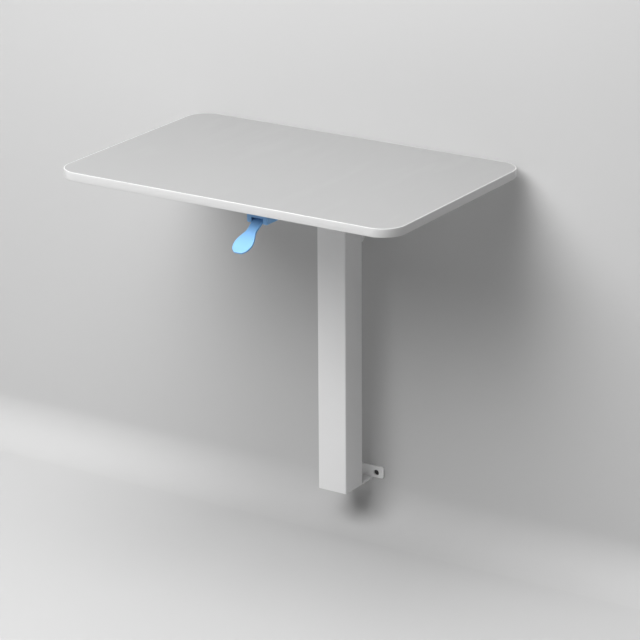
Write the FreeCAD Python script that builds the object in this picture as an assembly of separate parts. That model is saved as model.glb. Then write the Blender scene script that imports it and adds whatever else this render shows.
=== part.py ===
# Wall-mounted changing table: a square lift column held off the wall by two brackets, a telescopic
# inner column with a locking gas spring, and a flat top that a paddle lever releases through a cable.
# Frame: origin midway between the two lower wall holes on the wall plane, +X along the wall,
# -Y out into the room, +Z up. Units are millimetres.
import FreeCAD, Part
import math
import os

Vec = FreeCAD.Vector
X_AXIS = Vec(1, 0, 0)
Y_AXIS = Vec(0, 1, 0)
Z_AXIS = Vec(0, 0, 1)

# ---- driving dimensions: the top ----
table_width = 800.0
table_depth = 520.0
board_thickness = 18.0
corner_radius = 50.0
wall_gap = 4.0               # back edge of the top to the wall
table_top_z = 748.0
laminate_thickness = 0.8
band_thickness = 2.0
band_arris = 1.0

# ---- driving dimensions: the columns ----
column_width = 70.0
column_depth = 67.0
column_wall = 3.0
column_corner = 3.0
column_bore_corner = 1.0
column_stand_off = 42.5      # rear face of the column to the wall
column_bottom_z = -16.0
column_top_z = 590.0
inner_width = 55.0
inner_depth = 52.0
inner_wall = 2.5
inner_corner = 3.0
inner_bottom_z = 168.0
slide_clearance = 0.2
fit_clearance = 0.2

# ---- travel of the top from the height that is drawn ----
travel_down = 85.0
travel_up = 215.0

# ---- wall brackets ----
bracket_plate = 4.0
bracket_bend = 5.0           # outer bend radius of the lower bracket
bracket_half_span = 64.0
wall_hole_offset = 46.0
wall_hole_radius = 6.5
ear_top_z = 15.0
ear_top_radius = 6.5
ear_bottom_radius = 4.5
cheek_thickness = 3.0
cheek_low_z = 534.0
cheek_high_z = 582.0
cheek_slope_deg = 35.0
upper_hole_z = 567.0
upper_block_depth = 12.0
upper_bolt_radius = 3.0
upper_bolt_levels = (556.0, 572.0)
upper_bolt_reach = 14.0
base_plug_height = 22.0
base_screw_radius = 2.5
base_screw_spacing = (44.0, 40.0)
base_screw_share = 0.7       # of the plug that the screws run through
spigot_rise = 10.0
upper_block_drop = 38.0      # the block's lower end below the cheeks' top

# ---- guide bush and glide shoe ----
bush_depth = 60.0
bush_flange = 3.0
shoe_height = 60.0
shoe_foot = 5.0
bush_screw_radius = 2.0
bush_screw_offset = 20.0
bush_screw_drop = 12.0
shoe_way = 17.0

# ---- gas spring ----
strut_radius = 14.0
strut_wall = 2.5
strut_cap = 6.0
strut_top_z = 231.0
spring_nut_height = 6.0
spring_nut_flats = 17.0
rod_nut_height = 8.0
cylinder_radius = 14.0
cylinder_bore = 12.0
cylinder_bottom_z = 245.0
cylinder_top_z = 585.0
cylinder_floor = 5.0
stud_radius = 4.0
rod_radius = 5.0
rod_clearance = 0.06
piston_height = 12.0
piston_bottom_z = 337.0
piston_clearance = 0.1
piston_groove = 1.2
rod_guide_height = 18.0
valve_pin_radius = 1.8
valve_pin_length = 50.0
valve_pin_clearance = 0.1
valve_pin_depth = 5.0        # floor of its bore to the pin
valve_pin_play = 0.2

# ---- head plate and crossbeam ----
beam_height = 40.0
beam_depth = 60.0
beam_half_length = 200.0
beam_wall = 2.5
beam_lip = 15.0
head_plate_thickness = 6.0
head_plate_half_width = 60.0
head_plate_half_depth = 27.0
head_plate_corner = 6.0
buffer_height = 6.0
buffer_side = 5.0
buffer_round = 1.5
head_bolt_offset = (42.0, 16.0)
bolt_radius = 3.0
bolt_hole_radius = 3.3
bolt_flats = 10.0
bolt_head_height = 4.0
nut_height = 5.0
rod_way_slack = 0.2

# ---- arms ----
arm_offset = 150.0
arm_half_width = 20.0
arm_wall = 2.0
arm_lip = 12.0
arm_front_y = -430.0
arm_tip_height = 16.0
arm_root_drop = 2.0          # root of the arm stays this much above the beam's underside
arm_plate = 3.0
arm_plate_half_width = 33.0
arm_bolt_offset = 27.0
arm_bolt_levels = (10.0, 26.0)   # above the beam's underside
beam_notch_clearance = 2.0
cap_flange = 2.0
cap_plug = 8.0
beam_screws_rear = (-170.0, -60.0, 60.0, 170.0)
beam_screws_front = (-192.0, -85.0, 85.0, 192.0)
arm_screws_y = (-150.0, -400.0)

# ---- board screws ----
board_screw_radius = 2.0
board_screw_hole = 2.3
board_screw_head = 4.0
board_screw_head_height = 2.5
board_screw_bite = 12.0
screw_head_round = 0.4       # share of a pan head's height

# ---- release head ----
head_block_half_width = 14.0
head_block_front = 16.0      # ahead of the rod's axis
head_block_back = 24.0       # behind the rod's axis
head_block_base = 4.5
rocker_axis_back = 10.0      # rocker's axis behind the rod's axis
rocker_axis_height = 7.0     # above the block's base
rocker_arm_height = 14.0     # cable above the rocker's axis
rocker_half_width = 5.0
rocker_nose_radius = 4.0
rocker_pin_radius = 2.0
rocker_boss_radius = 5.0
rocker_upright_back = 2.0
rocker_upright_front = 3.0
rocker_web = 3.0
rocker_fork = (3.0, 4.0)     # below and above the cable
pin_running_clearance = 0.05
cheek_gap = 0.4
head_cheek = 3.6
head_cheek_ahead = 4.0       # ahead of the rod's axis
head_cheek_back = 8.0        # behind the rocker's axis
head_cheek_rise = 6.0        # above the rocker's axis
post_front = 10.0
post_thickness = 4.0
post_rise = 6.0
adjuster_body_radius = 4.0
adjuster_body_length = 11.5
adjuster_thread_radius = 3.0
adjuster_thread_length = 10.0
adjuster_nut_height = 3.0
adjuster_nut_flats = 9.0

# ---- cable ----
sheath_radius = 2.5
sheath_bore = 1.0
wire_radius = 0.75
sheath_seat = 5.0
clip_length = 10.0
clip_half_width = 5.0
clip_flange = 12.0
clip_skin = 1.5
clip_flange_thickness = 3.0
clip_screw_radius = 1.75
clip_screw_head = 3.2
clip_screw_head_height = 2.0
grommet_neck = 5.0
grommet_flange_radius = 7.0
grommet_flange = 1.5

# ---- lever housing ----
housing_x = 61.0
housing_half_width = 24.0
housing_front_y = -476.0
housing_length = 60.0
housing_height = 35.0
housing_wall = 2.5
housing_fillet = 3.5
housing_side_corner = 1.5
slot_side_clearance = 1.5
slot_top = 12.0              # above the housing's underside
slot_floor_slack = 0.5
floor_slot = 12.0            # how far the mouth runs back into the floor
boss_radius = 4.5
boss_offset = 16.5
boss_rows = (8.0, 28.0)      # ahead of the rear face
boss_screw_radius = 2.0
boss_counterbore = 3.7
boss_counterbore_depth = 15.0
boss_screw_head = 3.5
boss_screw_head_height = 2.2
ferrule_radius = 4.0
ferrule_nose_radius = 3.2
ferrule_length = 12.0

# ---- paddle lever ----
pivot_back = 15.0            # behind the housing's front face
pivot_height = 19.0          # above the housing's underside
pivot_pin_radius = 2.0
pivot_pin_recess = 0.5
drum_radius = 12.0
drum_half_width = 12.0
lever_slope_deg = 32.0
lever_top_drop = 4.35        # blade's upper face below the pivot, square to the blade
blade_thickness = 4.5
blade_neck = 11.4
blade_root = 12.2
blade_widest = 21.0
blade_tip = 7.6
blade_length = 103.0
blade_round = 1.3
nipple_arm = 9.0
nipple_radius = 2.0
nipple_half_length = 4.0
nipple_play = 0.5
nipple_gap = 0.1
wire_slit = 1.3
rear_nipple_radius = 2.5
rear_nipple_length = 6.0
spring_wire_radius = 0.6
spring_coil_radius = 5.2
spring_turns = 4
spring_pitch = 1.5
spring_facets = 6            # bends in one turn of the coil
spring_side_gap = 1.0
spring_leg = 11.0

# ---- worked out from the above ----
column_rear_y = -column_stand_off
column_axis_y = column_rear_y - column_depth / 2
column_front_y = column_rear_y - column_depth
board_bottom_z = table_top_z - board_thickness
table_back_y = -wall_gap
table_front_y = table_back_y - table_depth
beam_bottom_z = board_bottom_z - beam_height
beam_front_y = column_axis_y - beam_depth / 2
beam_back_y = column_axis_y + beam_depth / 2
plate_bottom_z = beam_bottom_z - head_plate_thickness
block_bottom_z = beam_bottom_z + beam_wall
rod_top_z = block_bottom_z + head_block_base
rocker_y = column_axis_y + rocker_axis_back
rocker_z = rod_top_z + rocker_axis_height
cable_z = rocker_z + rocker_arm_height
post_y = column_axis_y - post_front
housing_bottom_z = board_bottom_z - housing_height
housing_rear_y = housing_front_y + housing_length
pivot_y = housing_front_y + pivot_back
pivot_z = housing_bottom_z + pivot_height
wire_front_z = pivot_z - nipple_arm
tongue_half_width = column_width / 2 - column_wall - fit_clearance

# The cable's route, chosen by hand, from the lever housing back to the release head.
cable_route = [
    Vec(housing_x, -410, wire_front_z),
    Vec(housing_x, -372, wire_front_z),
    Vec(57, -326, 712),
    Vec(46, -274, 720),
    Vec(29, -224, 722),
    Vec(10, -178, 721),
    Vec(0, -137, cable_z),
    Vec(0, -96, cable_z),
]
clipped_runs = (2, 4)        # runs of the route that a clip holds


# ---- helpers ----
def box(x0, x1, y0, y1, z0, z1):
    return Part.makeBox(x1 - x0, y1 - y0, z1 - z0, Vec(x0, y0, z0))


def rod(start, axis, radius, length):
    return Part.makeCylinder(radius, length, start, axis)


def tube(start, axis, outer, inner, length):
    return rod(start, axis, outer, length).cut(rod(start, axis, inner, length))


def hexagon(start, axis, flats, length):
    """Hexagonal prism along a coordinate axis, flats measured across."""
    corner = flats / 2 / math.cos(math.pi / 6)
    points = []
    for i in range(7):
        a = math.radians(60 * i)
        points.append(Vec(corner * math.cos(a), corner * math.sin(a), 0))
    prism = Part.Face(Part.makePolygon(points)).extrude(Vec(0, 0, length))
    prism.Placement = FreeCAD.Placement(start, FreeCAD.Rotation(Z_AXIS, axis))
    return prism


def bolt(seat, axis, shank, reach, flats, head):
    """Hex bolt: the head stands against axis from its seat and the shank runs along axis."""
    body = rod(seat, axis, shank, reach)
    return body.fuse(hexagon(seat - axis * head, axis, flats, head)).removeSplitter()


def nut(start, axis, flats, height, bore):
    return hexagon(start, axis, flats, height).cut(rod(start, axis, bore, height))


def rounded_prism(width, depth, corner, centre_y, z0, height):
    """Upright prism with rounded corners, centred on X = 0 and the given Y."""
    w = width / 2
    d = depth / 2
    c = corner
    k = c * (1 - math.sqrt(0.5))
    corners = [(1, -1), (1, 1), (-1, 1), (-1, -1)]
    edges = []
    arcs = []
    for sx, sy in corners:
        along_y = Vec(sx * w, centre_y + sy * (d - c), z0)
        along_x = Vec(sx * (w - c), centre_y + sy * d, z0)
        middle = Vec(sx * (w - k), centre_y + sy * (d - k), z0)
        ends = (along_x, along_y) if sx * sy < 0 else (along_y, along_x)
        arcs.append((ends[0], middle, ends[1]))
    for i in range(4):
        first, middle, last = arcs[i]
        edges.append(Part.Arc(first, middle, last).toShape())
        edges.append(Part.LineSegment(last, arcs[(i + 1) % 4][0]).toShape())
    return Part.Face(Part.Wire(edges)).extrude(Vec(0, 0, height))


def side_profile(points, x0, x1):
    """Solid from a closed outline of (y, z) points, extruded from x0 to x1."""
    ring = [Vec(x0, y, z) for y, z in points]
    return Part.Face(Part.makePolygon(ring + ring[:1])).extrude(Vec(x1 - x0, 0, 0))


def fuse_all(shapes):
    result = shapes[0].fuse(shapes[1:]) if len(shapes) > 1 else shapes[0]
    return result.removeSplitter()


def save(name, shapes):
    """One STEP file for a node; a list is a group of separate solids."""
    group = shapes if isinstance(shapes, list) else [shapes]
    solids = []
    for shape in group:
        solids.extend(shape.Solids)
    result = solids[0] if len(solids) == 1 else Part.makeCompound(solids)
    result.exportStep("parts/" + name + ".step")
    print(name, len(solids), "solids", round(sum(s.Volume for s in solids)), "mm3")


# ---- fixings shared by the pieces they join ----
def beam_screw_places():
    rear = beam_back_y + beam_lip / 2
    front = beam_front_y - beam_lip / 2
    places = [(x, rear) for x in beam_screws_rear]
    return places + [(x, front) for x in beam_screws_front]


def arm_screw_places(side):
    lip = arm_half_width + arm_lip / 2
    middle = side * arm_offset
    return [(middle + s * lip, y) for y in arm_screws_y for s in (-1, 1)]


def board_screw_places():
    return beam_screw_places() + arm_screw_places(-1) + arm_screw_places(1)


def boss_places():
    rows = [housing_rear_y - r for r in boss_rows]
    return [(housing_x + s * boss_offset, y) for y in rows for s in (-1, 1)]


def clip_frames():
    frames = []
    for i in clipped_runs:
        a = cable_route[i]
        b = cable_route[i + 1]
        frames.append(((a + b) * 0.5, (b - a).normalize()))
    return frames


def clip_screw_places():
    reach = clip_half_width + clip_flange / 2
    return [(middle.x + reach, middle.y) for middle, along in clip_frames()]


def board_pilots():
    """The screws' paths into the board, cut from every layer they enter."""
    sets = (
        (board_screw_places(), board_screw_radius),
        (boss_places(), boss_screw_radius),
        (clip_screw_places(), clip_screw_radius),
    )
    holes = []
    for places, radius in sets:
        for x, y in places:
            holes.append(rod(Vec(x, y, board_bottom_z), Z_AXIS, radius, board_screw_bite))
    return holes


def arm_bolt_places():
    places = []
    for side in (-1, 1):
        for s in (-1, 1):
            for level in arm_bolt_levels:
                places.append((side * arm_offset + s * arm_bolt_offset, beam_bottom_z + level))
    return places


def head_bolt_places():
    dx, dy = head_bolt_offset
    return [(sx * dx, column_axis_y + sy * dy) for sx in (-1, 1) for sy in (-1, 1)]


def base_screw_places():
    dx, dy = base_screw_spacing
    return [(sx * dx / 2, column_axis_y + sy * dy / 2) for sx in (-1, 1) for sy in (-1, 1)]


def wall_holes(z):
    start = -bracket_plate - 1
    return [rod(Vec(s * wall_hole_offset, start, z), Y_AXIS, wall_hole_radius, bracket_plate + 2)
            for s in (-1, 1)]


# ---- fixed part: columns and brackets ----
def column_bore(z0, height, slack):
    return rounded_prism(column_width - 2 * column_wall - 2 * slack,
                         column_depth - 2 * column_wall - 2 * slack,
                         column_bore_corner, column_axis_y, z0, height)


def bush_screw_axes():
    z = column_top_z - bush_screw_drop
    return [Vec(s * bush_screw_offset, column_rear_y, z) for s in (-1, 1)]


def outer_column():
    height = column_top_z - column_bottom_z
    body = rounded_prism(column_width, column_depth, column_corner, column_axis_y,
                         column_bottom_z, height)
    body = body.cut(column_bore(column_bottom_z, height, 0))
    notch = box(-tongue_half_width - fit_clearance, tongue_half_width + fit_clearance,
                column_rear_y - column_wall - 1, column_rear_y + 1,
                column_bottom_z - 1, column_bottom_z + bracket_plate + fit_clearance)
    return body.cut([notch] + bush_screws())


def countersunk(head_face, axis, shank, reach):
    """Countersunk screw: flush head at head_face, shank running along axis."""
    head = Part.makeCone(2 * shank, shank, shank, head_face, axis)
    return head.fuse(rod(head_face, axis, shank, reach)).removeSplitter()


def ear_plate(z0, z1, low_radius, high_radius):
    plate = box(-bracket_half_span, bracket_half_span, -bracket_plate, 0, z0, z1)
    low = [e for e in plate.Edges if e.BoundBox.YLength > bracket_plate / 2
           and e.BoundBox.ZMax < (z0 + z1) / 2]
    plate = plate.makeFillet(low_radius, low)
    high = [e for e in plate.Edges if abs(e.BoundBox.ZMin - z1) < 1e-4
            and e.BoundBox.XLength < 1e-4]
    return plate.makeFillet(high_radius, high)


def base_screws():
    return [countersunk(Vec(x, y, column_bottom_z), Z_AXIS, base_screw_radius,
                        bracket_plate + base_plug_height * base_screw_share) for x, y in base_screw_places()]


def lower_wall_bracket():
    half = column_width / 2
    low = column_bottom_z
    plate = box(-half, half, -bracket_plate, 0, low + bracket_bend, low + 2 * bracket_bend)
    leg = box(-half, half, column_rear_y + fit_clearance, -bracket_bend, low, low + bracket_plate)
    corner = rod(Vec(-half, -bracket_bend, low + bracket_bend), X_AXIS, bracket_bend, 2 * half)
    corner = corner.cut(rod(Vec(-half, -bracket_bend, low + bracket_bend), X_AXIS,
                            bracket_bend - bracket_plate, 2 * half))
    quarter = box(-half, half, -bracket_bend, 0, low, low + bracket_bend)
    tongue_back = column_rear_y - column_wall - 2 * column_bore_corner
    tongue = column_bore(low, bracket_plate, fit_clearance)
    neck = box(-tongue_half_width, tongue_half_width, tongue_back,
               column_rear_y + fit_clearance, low, low + bracket_plate)
    ears = ear_plate(low + bracket_bend, ear_top_z, ear_bottom_radius, ear_top_radius)
    body = fuse_all([plate, leg, corner.common(quarter), tongue, neck, ears])
    return body.cut(wall_holes(0) + base_screws())


def base_plug():
    z = column_bottom_z + bracket_plate
    plug = column_bore(z, base_plug_height, 0)
    spigot = rod(Vec(0, column_axis_y, z), Z_AXIS, strut_radius - strut_wall,
                 base_plug_height + spigot_rise)
    return fuse_all([plug, spigot]).cut(base_screws())


def upper_wall_bracket():
    half = column_width / 2
    rise = (column_stand_off - bracket_plate) * math.tan(math.radians(cheek_slope_deg))
    outline = [(column_rear_y, cheek_low_z), (column_rear_y, cheek_high_z),
               (-bracket_plate, cheek_high_z), (-bracket_plate, cheek_low_z + rise)]
    pieces = [ear_plate(upper_hole_z - ear_top_z, cheek_high_z, ear_top_radius, ear_top_radius)]
    pieces.append(side_profile(outline, -half, -half + cheek_thickness))
    pieces.append(side_profile(outline, half - cheek_thickness, half))
    body = fuse_all(pieces)
    return body.cut(wall_holes(upper_hole_z) + upper_bracket_bolts())


def upper_column_block():
    half = column_width / 2 - cheek_thickness
    block = box(-half, half, column_rear_y, column_rear_y + upper_block_depth,
                cheek_high_z - upper_block_drop, cheek_high_z)
    return block.cut(upper_bracket_bolts())


def upper_bracket_bolts():
    bolts = []
    for side in (-1, 1):
        for z in upper_bolt_levels:
            seat = Vec(side * column_width / 2, column_rear_y + upper_block_depth / 2, z)
            bolts.append(bolt(seat, X_AXIS * -side, upper_bolt_radius, upper_bolt_reach,
                              bolt_flats, bolt_head_height))
    return bolts


def inner_opening(z0, height, slack):
    return rounded_prism(inner_width + 2 * slack, inner_depth + 2 * slack,
                         inner_corner + slack, column_axis_y, z0, height)


def guide_bush():
    collar = column_bore(column_top_z - bush_depth, bush_depth, 0)
    flange = rounded_prism(column_width, column_depth, column_corner, column_axis_y,
                           column_top_z, bush_flange)
    body = fuse_all([collar, flange])
    body = body.cut(inner_opening(column_top_z - bush_depth - 1, bush_depth + bush_flange + 2,
                                  slide_clearance))
    return body.cut(bush_screws())


def bush_screws():
    reach = column_wall + (column_depth - 2 * column_wall - inner_depth) / 2 - 1
    return [countersunk(p, Y_AXIS * -1, bush_screw_radius, reach) for p in bush_screw_axes()]


# ---- fixed part: gas spring ----
def spring_strut():
    base = column_bottom_z + bracket_plate + base_plug_height
    start = Vec(0, column_axis_y, base)
    body = rod(start, Z_AXIS, strut_radius, strut_top_z - base)
    hollow = rod(start, Z_AXIS, strut_radius - strut_wall, strut_top_z - base - strut_cap)
    stud = rod(start, Z_AXIS, stud_radius, strut_top_z - base + 1)
    return body.cut([hollow, stud])


def gas_spring_nut():
    low = strut_top_z
    return nut(Vec(0, column_axis_y, low), Z_AXIS, spring_nut_flats, spring_nut_height,
               stud_radius)


def gas_spring_cylinder():
    base = Vec(0, column_axis_y, cylinder_bottom_z)
    length = cylinder_top_z - cylinder_bottom_z
    body = rod(base, Z_AXIS, cylinder_radius, length)
    bore = rod(base + Z_AXIS * cylinder_floor, Z_AXIS, cylinder_bore, length)
    foot = strut_top_z - strut_cap
    stud = rod(Vec(0, column_axis_y, foot), Z_AXIS, stud_radius, cylinder_bottom_z - foot)
    return body.cut(bore).fuse(stud).removeSplitter()


def gas_spring_guide():
    low = Vec(0, column_axis_y, cylinder_top_z - rod_guide_height)
    return tube(low, Z_AXIS, cylinder_bore, rod_radius + rod_clearance, rod_guide_height)


# ---- lifting part ----
def inner_column():
    height = plate_bottom_z - inner_bottom_z
    body = inner_opening(inner_bottom_z, height, 0)
    return body.cut(rounded_prism(inner_width - 2 * inner_wall, inner_depth - 2 * inner_wall,
                                  column_bore_corner, column_axis_y, inner_bottom_z, height))


def glide_shoe():
    low = inner_bottom_z - shoe_foot
    body = column_bore(low, shoe_height, slide_clearance)
    body = body.cut(inner_opening(inner_bottom_z, shoe_height, 0))
    way = rod(Vec(0, column_axis_y, low - 1), Z_AXIS, shoe_way, shoe_foot + 2)
    return body.cut(way)


def head_plate():
    body = rounded_prism(2 * head_plate_half_width, 2 * head_plate_half_depth,
                         head_plate_corner, column_axis_y, plate_bottom_z,
                         head_plate_thickness)
    holes = [rod(Vec(x, y, plate_bottom_z - 1), Z_AXIS, bolt_radius, head_plate_thickness + 2)
             for x, y in head_bolt_places()]
    way = rod(Vec(0, column_axis_y, plate_bottom_z - 1), Z_AXIS, rod_radius,
              head_plate_thickness + 2)
    return body.cut(holes + [way])


def head_bolts():
    reach = beam_wall + head_plate_thickness
    return [bolt(Vec(x, y, beam_bottom_z + beam_wall), Z_AXIS * -1, bolt_radius, reach,
                 bolt_flats, bolt_head_height) for x, y in head_bolt_places()]


def rubber_buffer():
    low = plate_bottom_z - buffer_height
    body = rounded_prism(column_width, inner_depth + 2 * buffer_side, buffer_side,
                         column_axis_y, low, buffer_height)
    way = [e for e in body.Edges if abs(e.BoundBox.ZMax - low) < 1e-4
           and e.BoundBox.ZLength < 1e-4]
    body = body.makeFillet(buffer_round, way)
    return body.cut(inner_opening(low - 1, buffer_height + 2, 0))


def crossbeam():
    half = beam_half_length
    outer = box(-half, half, beam_front_y, beam_back_y, beam_bottom_z, board_bottom_z)
    inner = box(-half - 1, half + 1, beam_front_y + beam_wall, beam_back_y - beam_wall,
                beam_bottom_z + beam_wall, board_bottom_z + 1)
    folds = [e for e in outer.Edges if abs(e.BoundBox.ZMax - beam_bottom_z) < 1e-4
             and e.BoundBox.XLength > half]
    outer = outer.makeFillet(2 * beam_wall, folds)
    creases = [e for e in inner.Edges if abs(e.BoundBox.ZMax - beam_bottom_z - beam_wall) < 1e-4
               and e.BoundBox.XLength > half]
    inner = inner.makeFillet(beam_wall, creases)
    lips = [box(-half, half, beam_front_y - beam_lip, beam_front_y + 1,
                board_bottom_z - beam_wall, board_bottom_z),
            box(-half, half, beam_back_y - 1, beam_back_y + beam_lip,
                board_bottom_z - beam_wall, board_bottom_z)]
    body = fuse_all([outer] + lips).cut(inner)
    tools = []
    for side in (-1, 1):
        middle = side * arm_offset
        reach = arm_half_width + beam_notch_clearance
        tools.append(box(middle - reach, middle + reach, beam_front_y - beam_lip - 1,
                         beam_front_y, board_bottom_z - beam_wall - 1, board_bottom_z + 1))
    for x, y in head_bolt_places():
        tools.append(rod(Vec(x, y, beam_bottom_z - 1), Z_AXIS, bolt_hole_radius, beam_wall + 2))
    tools.append(rod(Vec(0, column_axis_y, beam_bottom_z - 1), Z_AXIS, rod_radius + rod_way_slack,
                     beam_wall + 2))
    for x, z in arm_bolt_places():
        tools.append(rod(Vec(x, beam_front_y - 1, z), Y_AXIS, bolt_hole_radius, beam_wall + 2))
    tools.append(rod(Vec(0, beam_front_y - 1, cable_z), Y_AXIS, grommet_neck, beam_wall + 2))
    for x, y in beam_screw_places():
        tools.append(rod(Vec(x, y, board_bottom_z - beam_wall - 1), Z_AXIS, board_screw_hole,
                         beam_wall + 2))
    return body.cut(tools)


def beam_end_caps():
    caps = []
    for side in (-1, 1):
        outside = sorted((side * beam_half_length, side * (beam_half_length + cap_flange)))
        plate = box(outside[0], outside[1], beam_front_y, beam_back_y, beam_bottom_z,
                    board_bottom_z)
        folds = [e for e in plate.Edges if abs(e.BoundBox.ZMax - beam_bottom_z) < 1e-4
                 and e.BoundBox.YLength < 1e-4]
        plate = plate.makeFillet(2 * beam_wall, folds)
        inside = sorted((side * (beam_half_length - cap_plug), side * beam_half_length))
        plug = box(inside[0], inside[1], beam_front_y + beam_wall + fit_clearance,
                   beam_back_y - beam_wall - fit_clearance,
                   beam_bottom_z + 2 * beam_wall, board_bottom_z - fit_clearance)
        caps.append(fuse_all([plate, plug]))
    return caps


def arm_underside(y):
    """Height of the arm's lower edge at a given Y."""
    root_y = beam_front_y - arm_plate
    root_z = beam_bottom_z + arm_root_drop
    tip_z = board_bottom_z - arm_tip_height
    return root_z + (tip_z - root_z) * (root_y - y) / (root_y - arm_front_y)


def arm(side):
    middle = side * arm_offset
    root_y = beam_front_y - arm_plate
    outer = [(root_y, board_bottom_z), (arm_front_y, board_bottom_z),
             (arm_front_y, arm_underside(arm_front_y)), (root_y, arm_underside(root_y))]
    inner = [(root_y + 1, board_bottom_z + 1), (arm_front_y - 1, board_bottom_z + 1),
             (arm_front_y - 1, arm_underside(arm_front_y - 1) + arm_wall),
             (root_y + 1, arm_underside(root_y + 1) + arm_wall)]
    shell = side_profile(outer, middle - arm_half_width, middle + arm_half_width)
    shell = shell.cut(side_profile(inner, middle - arm_half_width + arm_wall,
                                   middle + arm_half_width - arm_wall))
    lip_back = beam_front_y - beam_lip - beam_notch_clearance
    reach = arm_half_width + arm_lip
    pieces = [shell]
    for s in (-1, 1):
        edges = sorted((middle + s * (arm_half_width - arm_wall), middle + s * reach))
        pieces.append(box(edges[0], edges[1], arm_front_y, lip_back,
                          board_bottom_z - arm_wall, board_bottom_z))
    pieces.append(box(middle - arm_plate_half_width, middle + arm_plate_half_width,
                      root_y, beam_front_y, beam_bottom_z + arm_root_drop,
                      board_bottom_z - beam_wall - beam_notch_clearance))
    body = fuse_all(pieces)
    tools = [rod(Vec(x, y, board_bottom_z - arm_wall - 1), Z_AXIS, board_screw_hole,
                 arm_wall + 2) for x, y in arm_screw_places(side)]
    tools += [rod(Vec(x, root_y - 1, z), Y_AXIS, bolt_hole_radius, arm_plate + 2)
              for x, z in arm_bolt_places()]
    return body.cut(tools)


def arm_bolts():
    seat = beam_front_y - arm_plate
    reach = arm_plate + beam_wall + nut_height + 1
    return [bolt(Vec(x, seat, z), Y_AXIS, bolt_radius, reach, bolt_flats, bolt_head_height)
            for x, z in arm_bolt_places()]


def arm_nuts():
    return [nut(Vec(x, beam_front_y + beam_wall, z), Y_AXIS, bolt_flats, nut_height, bolt_radius)
            for x, z in arm_bolt_places()]


def arm_end_caps():
    caps = []
    low = arm_underside(arm_front_y)
    for side in (-1, 1):
        middle = side * arm_offset
        plate = box(middle - arm_half_width, middle + arm_half_width, arm_front_y - cap_flange,
                    arm_front_y, low, board_bottom_z)
        slack = arm_half_width - arm_wall - fit_clearance
        plug = side_profile([(arm_front_y, board_bottom_z - fit_clearance),
                             (arm_front_y + cap_plug, board_bottom_z - fit_clearance),
                             (arm_front_y + cap_plug, low + arm_wall + fit_clearance),
                             (arm_front_y, low + arm_wall + fit_clearance)],
                            middle - slack, middle + slack)
        caps.append(fuse_all([plate, plug]))
    return caps


# ---- the top ----
def top_outline(inset, z0, height):
    return rounded_prism(table_width - 2 * inset, table_depth - 2 * inset,
                         corner_radius - inset, (table_back_y + table_front_y) / 2, z0, height)


def board_core():
    z = board_bottom_z + laminate_thickness
    body = top_outline(band_thickness, z, board_thickness - 2 * laminate_thickness)
    return body.cut(board_pilots())


def bottom_laminate():
    return top_outline(band_thickness, board_bottom_z, laminate_thickness).cut(board_pilots())


def top_laminate():
    return top_outline(band_thickness, table_top_z - laminate_thickness, laminate_thickness)


def edge_band():
    body = top_outline(0, board_bottom_z, board_thickness)
    rims = [e for e in body.Edges if e.BoundBox.ZLength < 1e-4]
    body = body.makeFillet(band_arris, rims)
    return body.cut(top_outline(band_thickness, board_bottom_z - 1, board_thickness + 2))


def pan_screw(x, y, seat_z, shank, head, head_height, reach):
    """Pan-head screw driven upwards, its head under seat_z."""
    cap = rod(Vec(x, y, seat_z - head_height), Z_AXIS, head, head_height)
    rim = [e for e in cap.Edges if abs(e.BoundBox.ZMax - seat_z + head_height) < 1e-4
           and e.BoundBox.XLength > head]
    cap = cap.makeFillet(head_height * screw_head_round, rim)
    return cap.fuse(rod(Vec(x, y, seat_z), Z_AXIS, shank, reach)).removeSplitter()


def board_screws():
    screws = []
    for x, y in beam_screw_places():
        screws.append(pan_screw(x, y, board_bottom_z - beam_wall, board_screw_radius,
                                board_screw_head, board_screw_head_height,
                                beam_wall + board_screw_bite))
    for x, y in arm_screw_places(-1) + arm_screw_places(1):
        screws.append(pan_screw(x, y, board_bottom_z - arm_wall, board_screw_radius,
                                board_screw_head, board_screw_head_height,
                                arm_wall + board_screw_bite))
    return screws


# ---- gas spring rod and release head ----
def gas_spring_rod():
    start = Vec(0, column_axis_y, piston_bottom_z)
    body = rod(start, Z_AXIS, rod_radius, rod_top_z - piston_bottom_z)
    bore_low = rod_top_z - valve_pin_length
    bore = rod(Vec(0, column_axis_y, bore_low), Z_AXIS, valve_pin_radius + valve_pin_clearance,
               valve_pin_length + 1)
    return body.cut(bore)


def gas_spring_piston():
    start = Vec(0, column_axis_y, piston_bottom_z)
    body = tube(start, Z_AXIS, cylinder_bore - piston_clearance, rod_radius, piston_height)
    groove = tube(start + Z_AXIS * (piston_height * 0.4), Z_AXIS, cylinder_bore,
                  cylinder_bore - piston_groove, piston_height * 0.2)
    return body.cut(groove)


def rod_nut():
    return nut(Vec(0, column_axis_y, plate_bottom_z - rod_nut_height), Z_AXIS, spring_nut_flats,
               rod_nut_height, rod_radius)


def release_pin():
    low = rod_top_z - valve_pin_length + valve_pin_depth
    top = rocker_z - rocker_nose_radius - valve_pin_play
    return rod(Vec(0, column_axis_y, low), Z_AXIS, valve_pin_radius, top - low)


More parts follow.
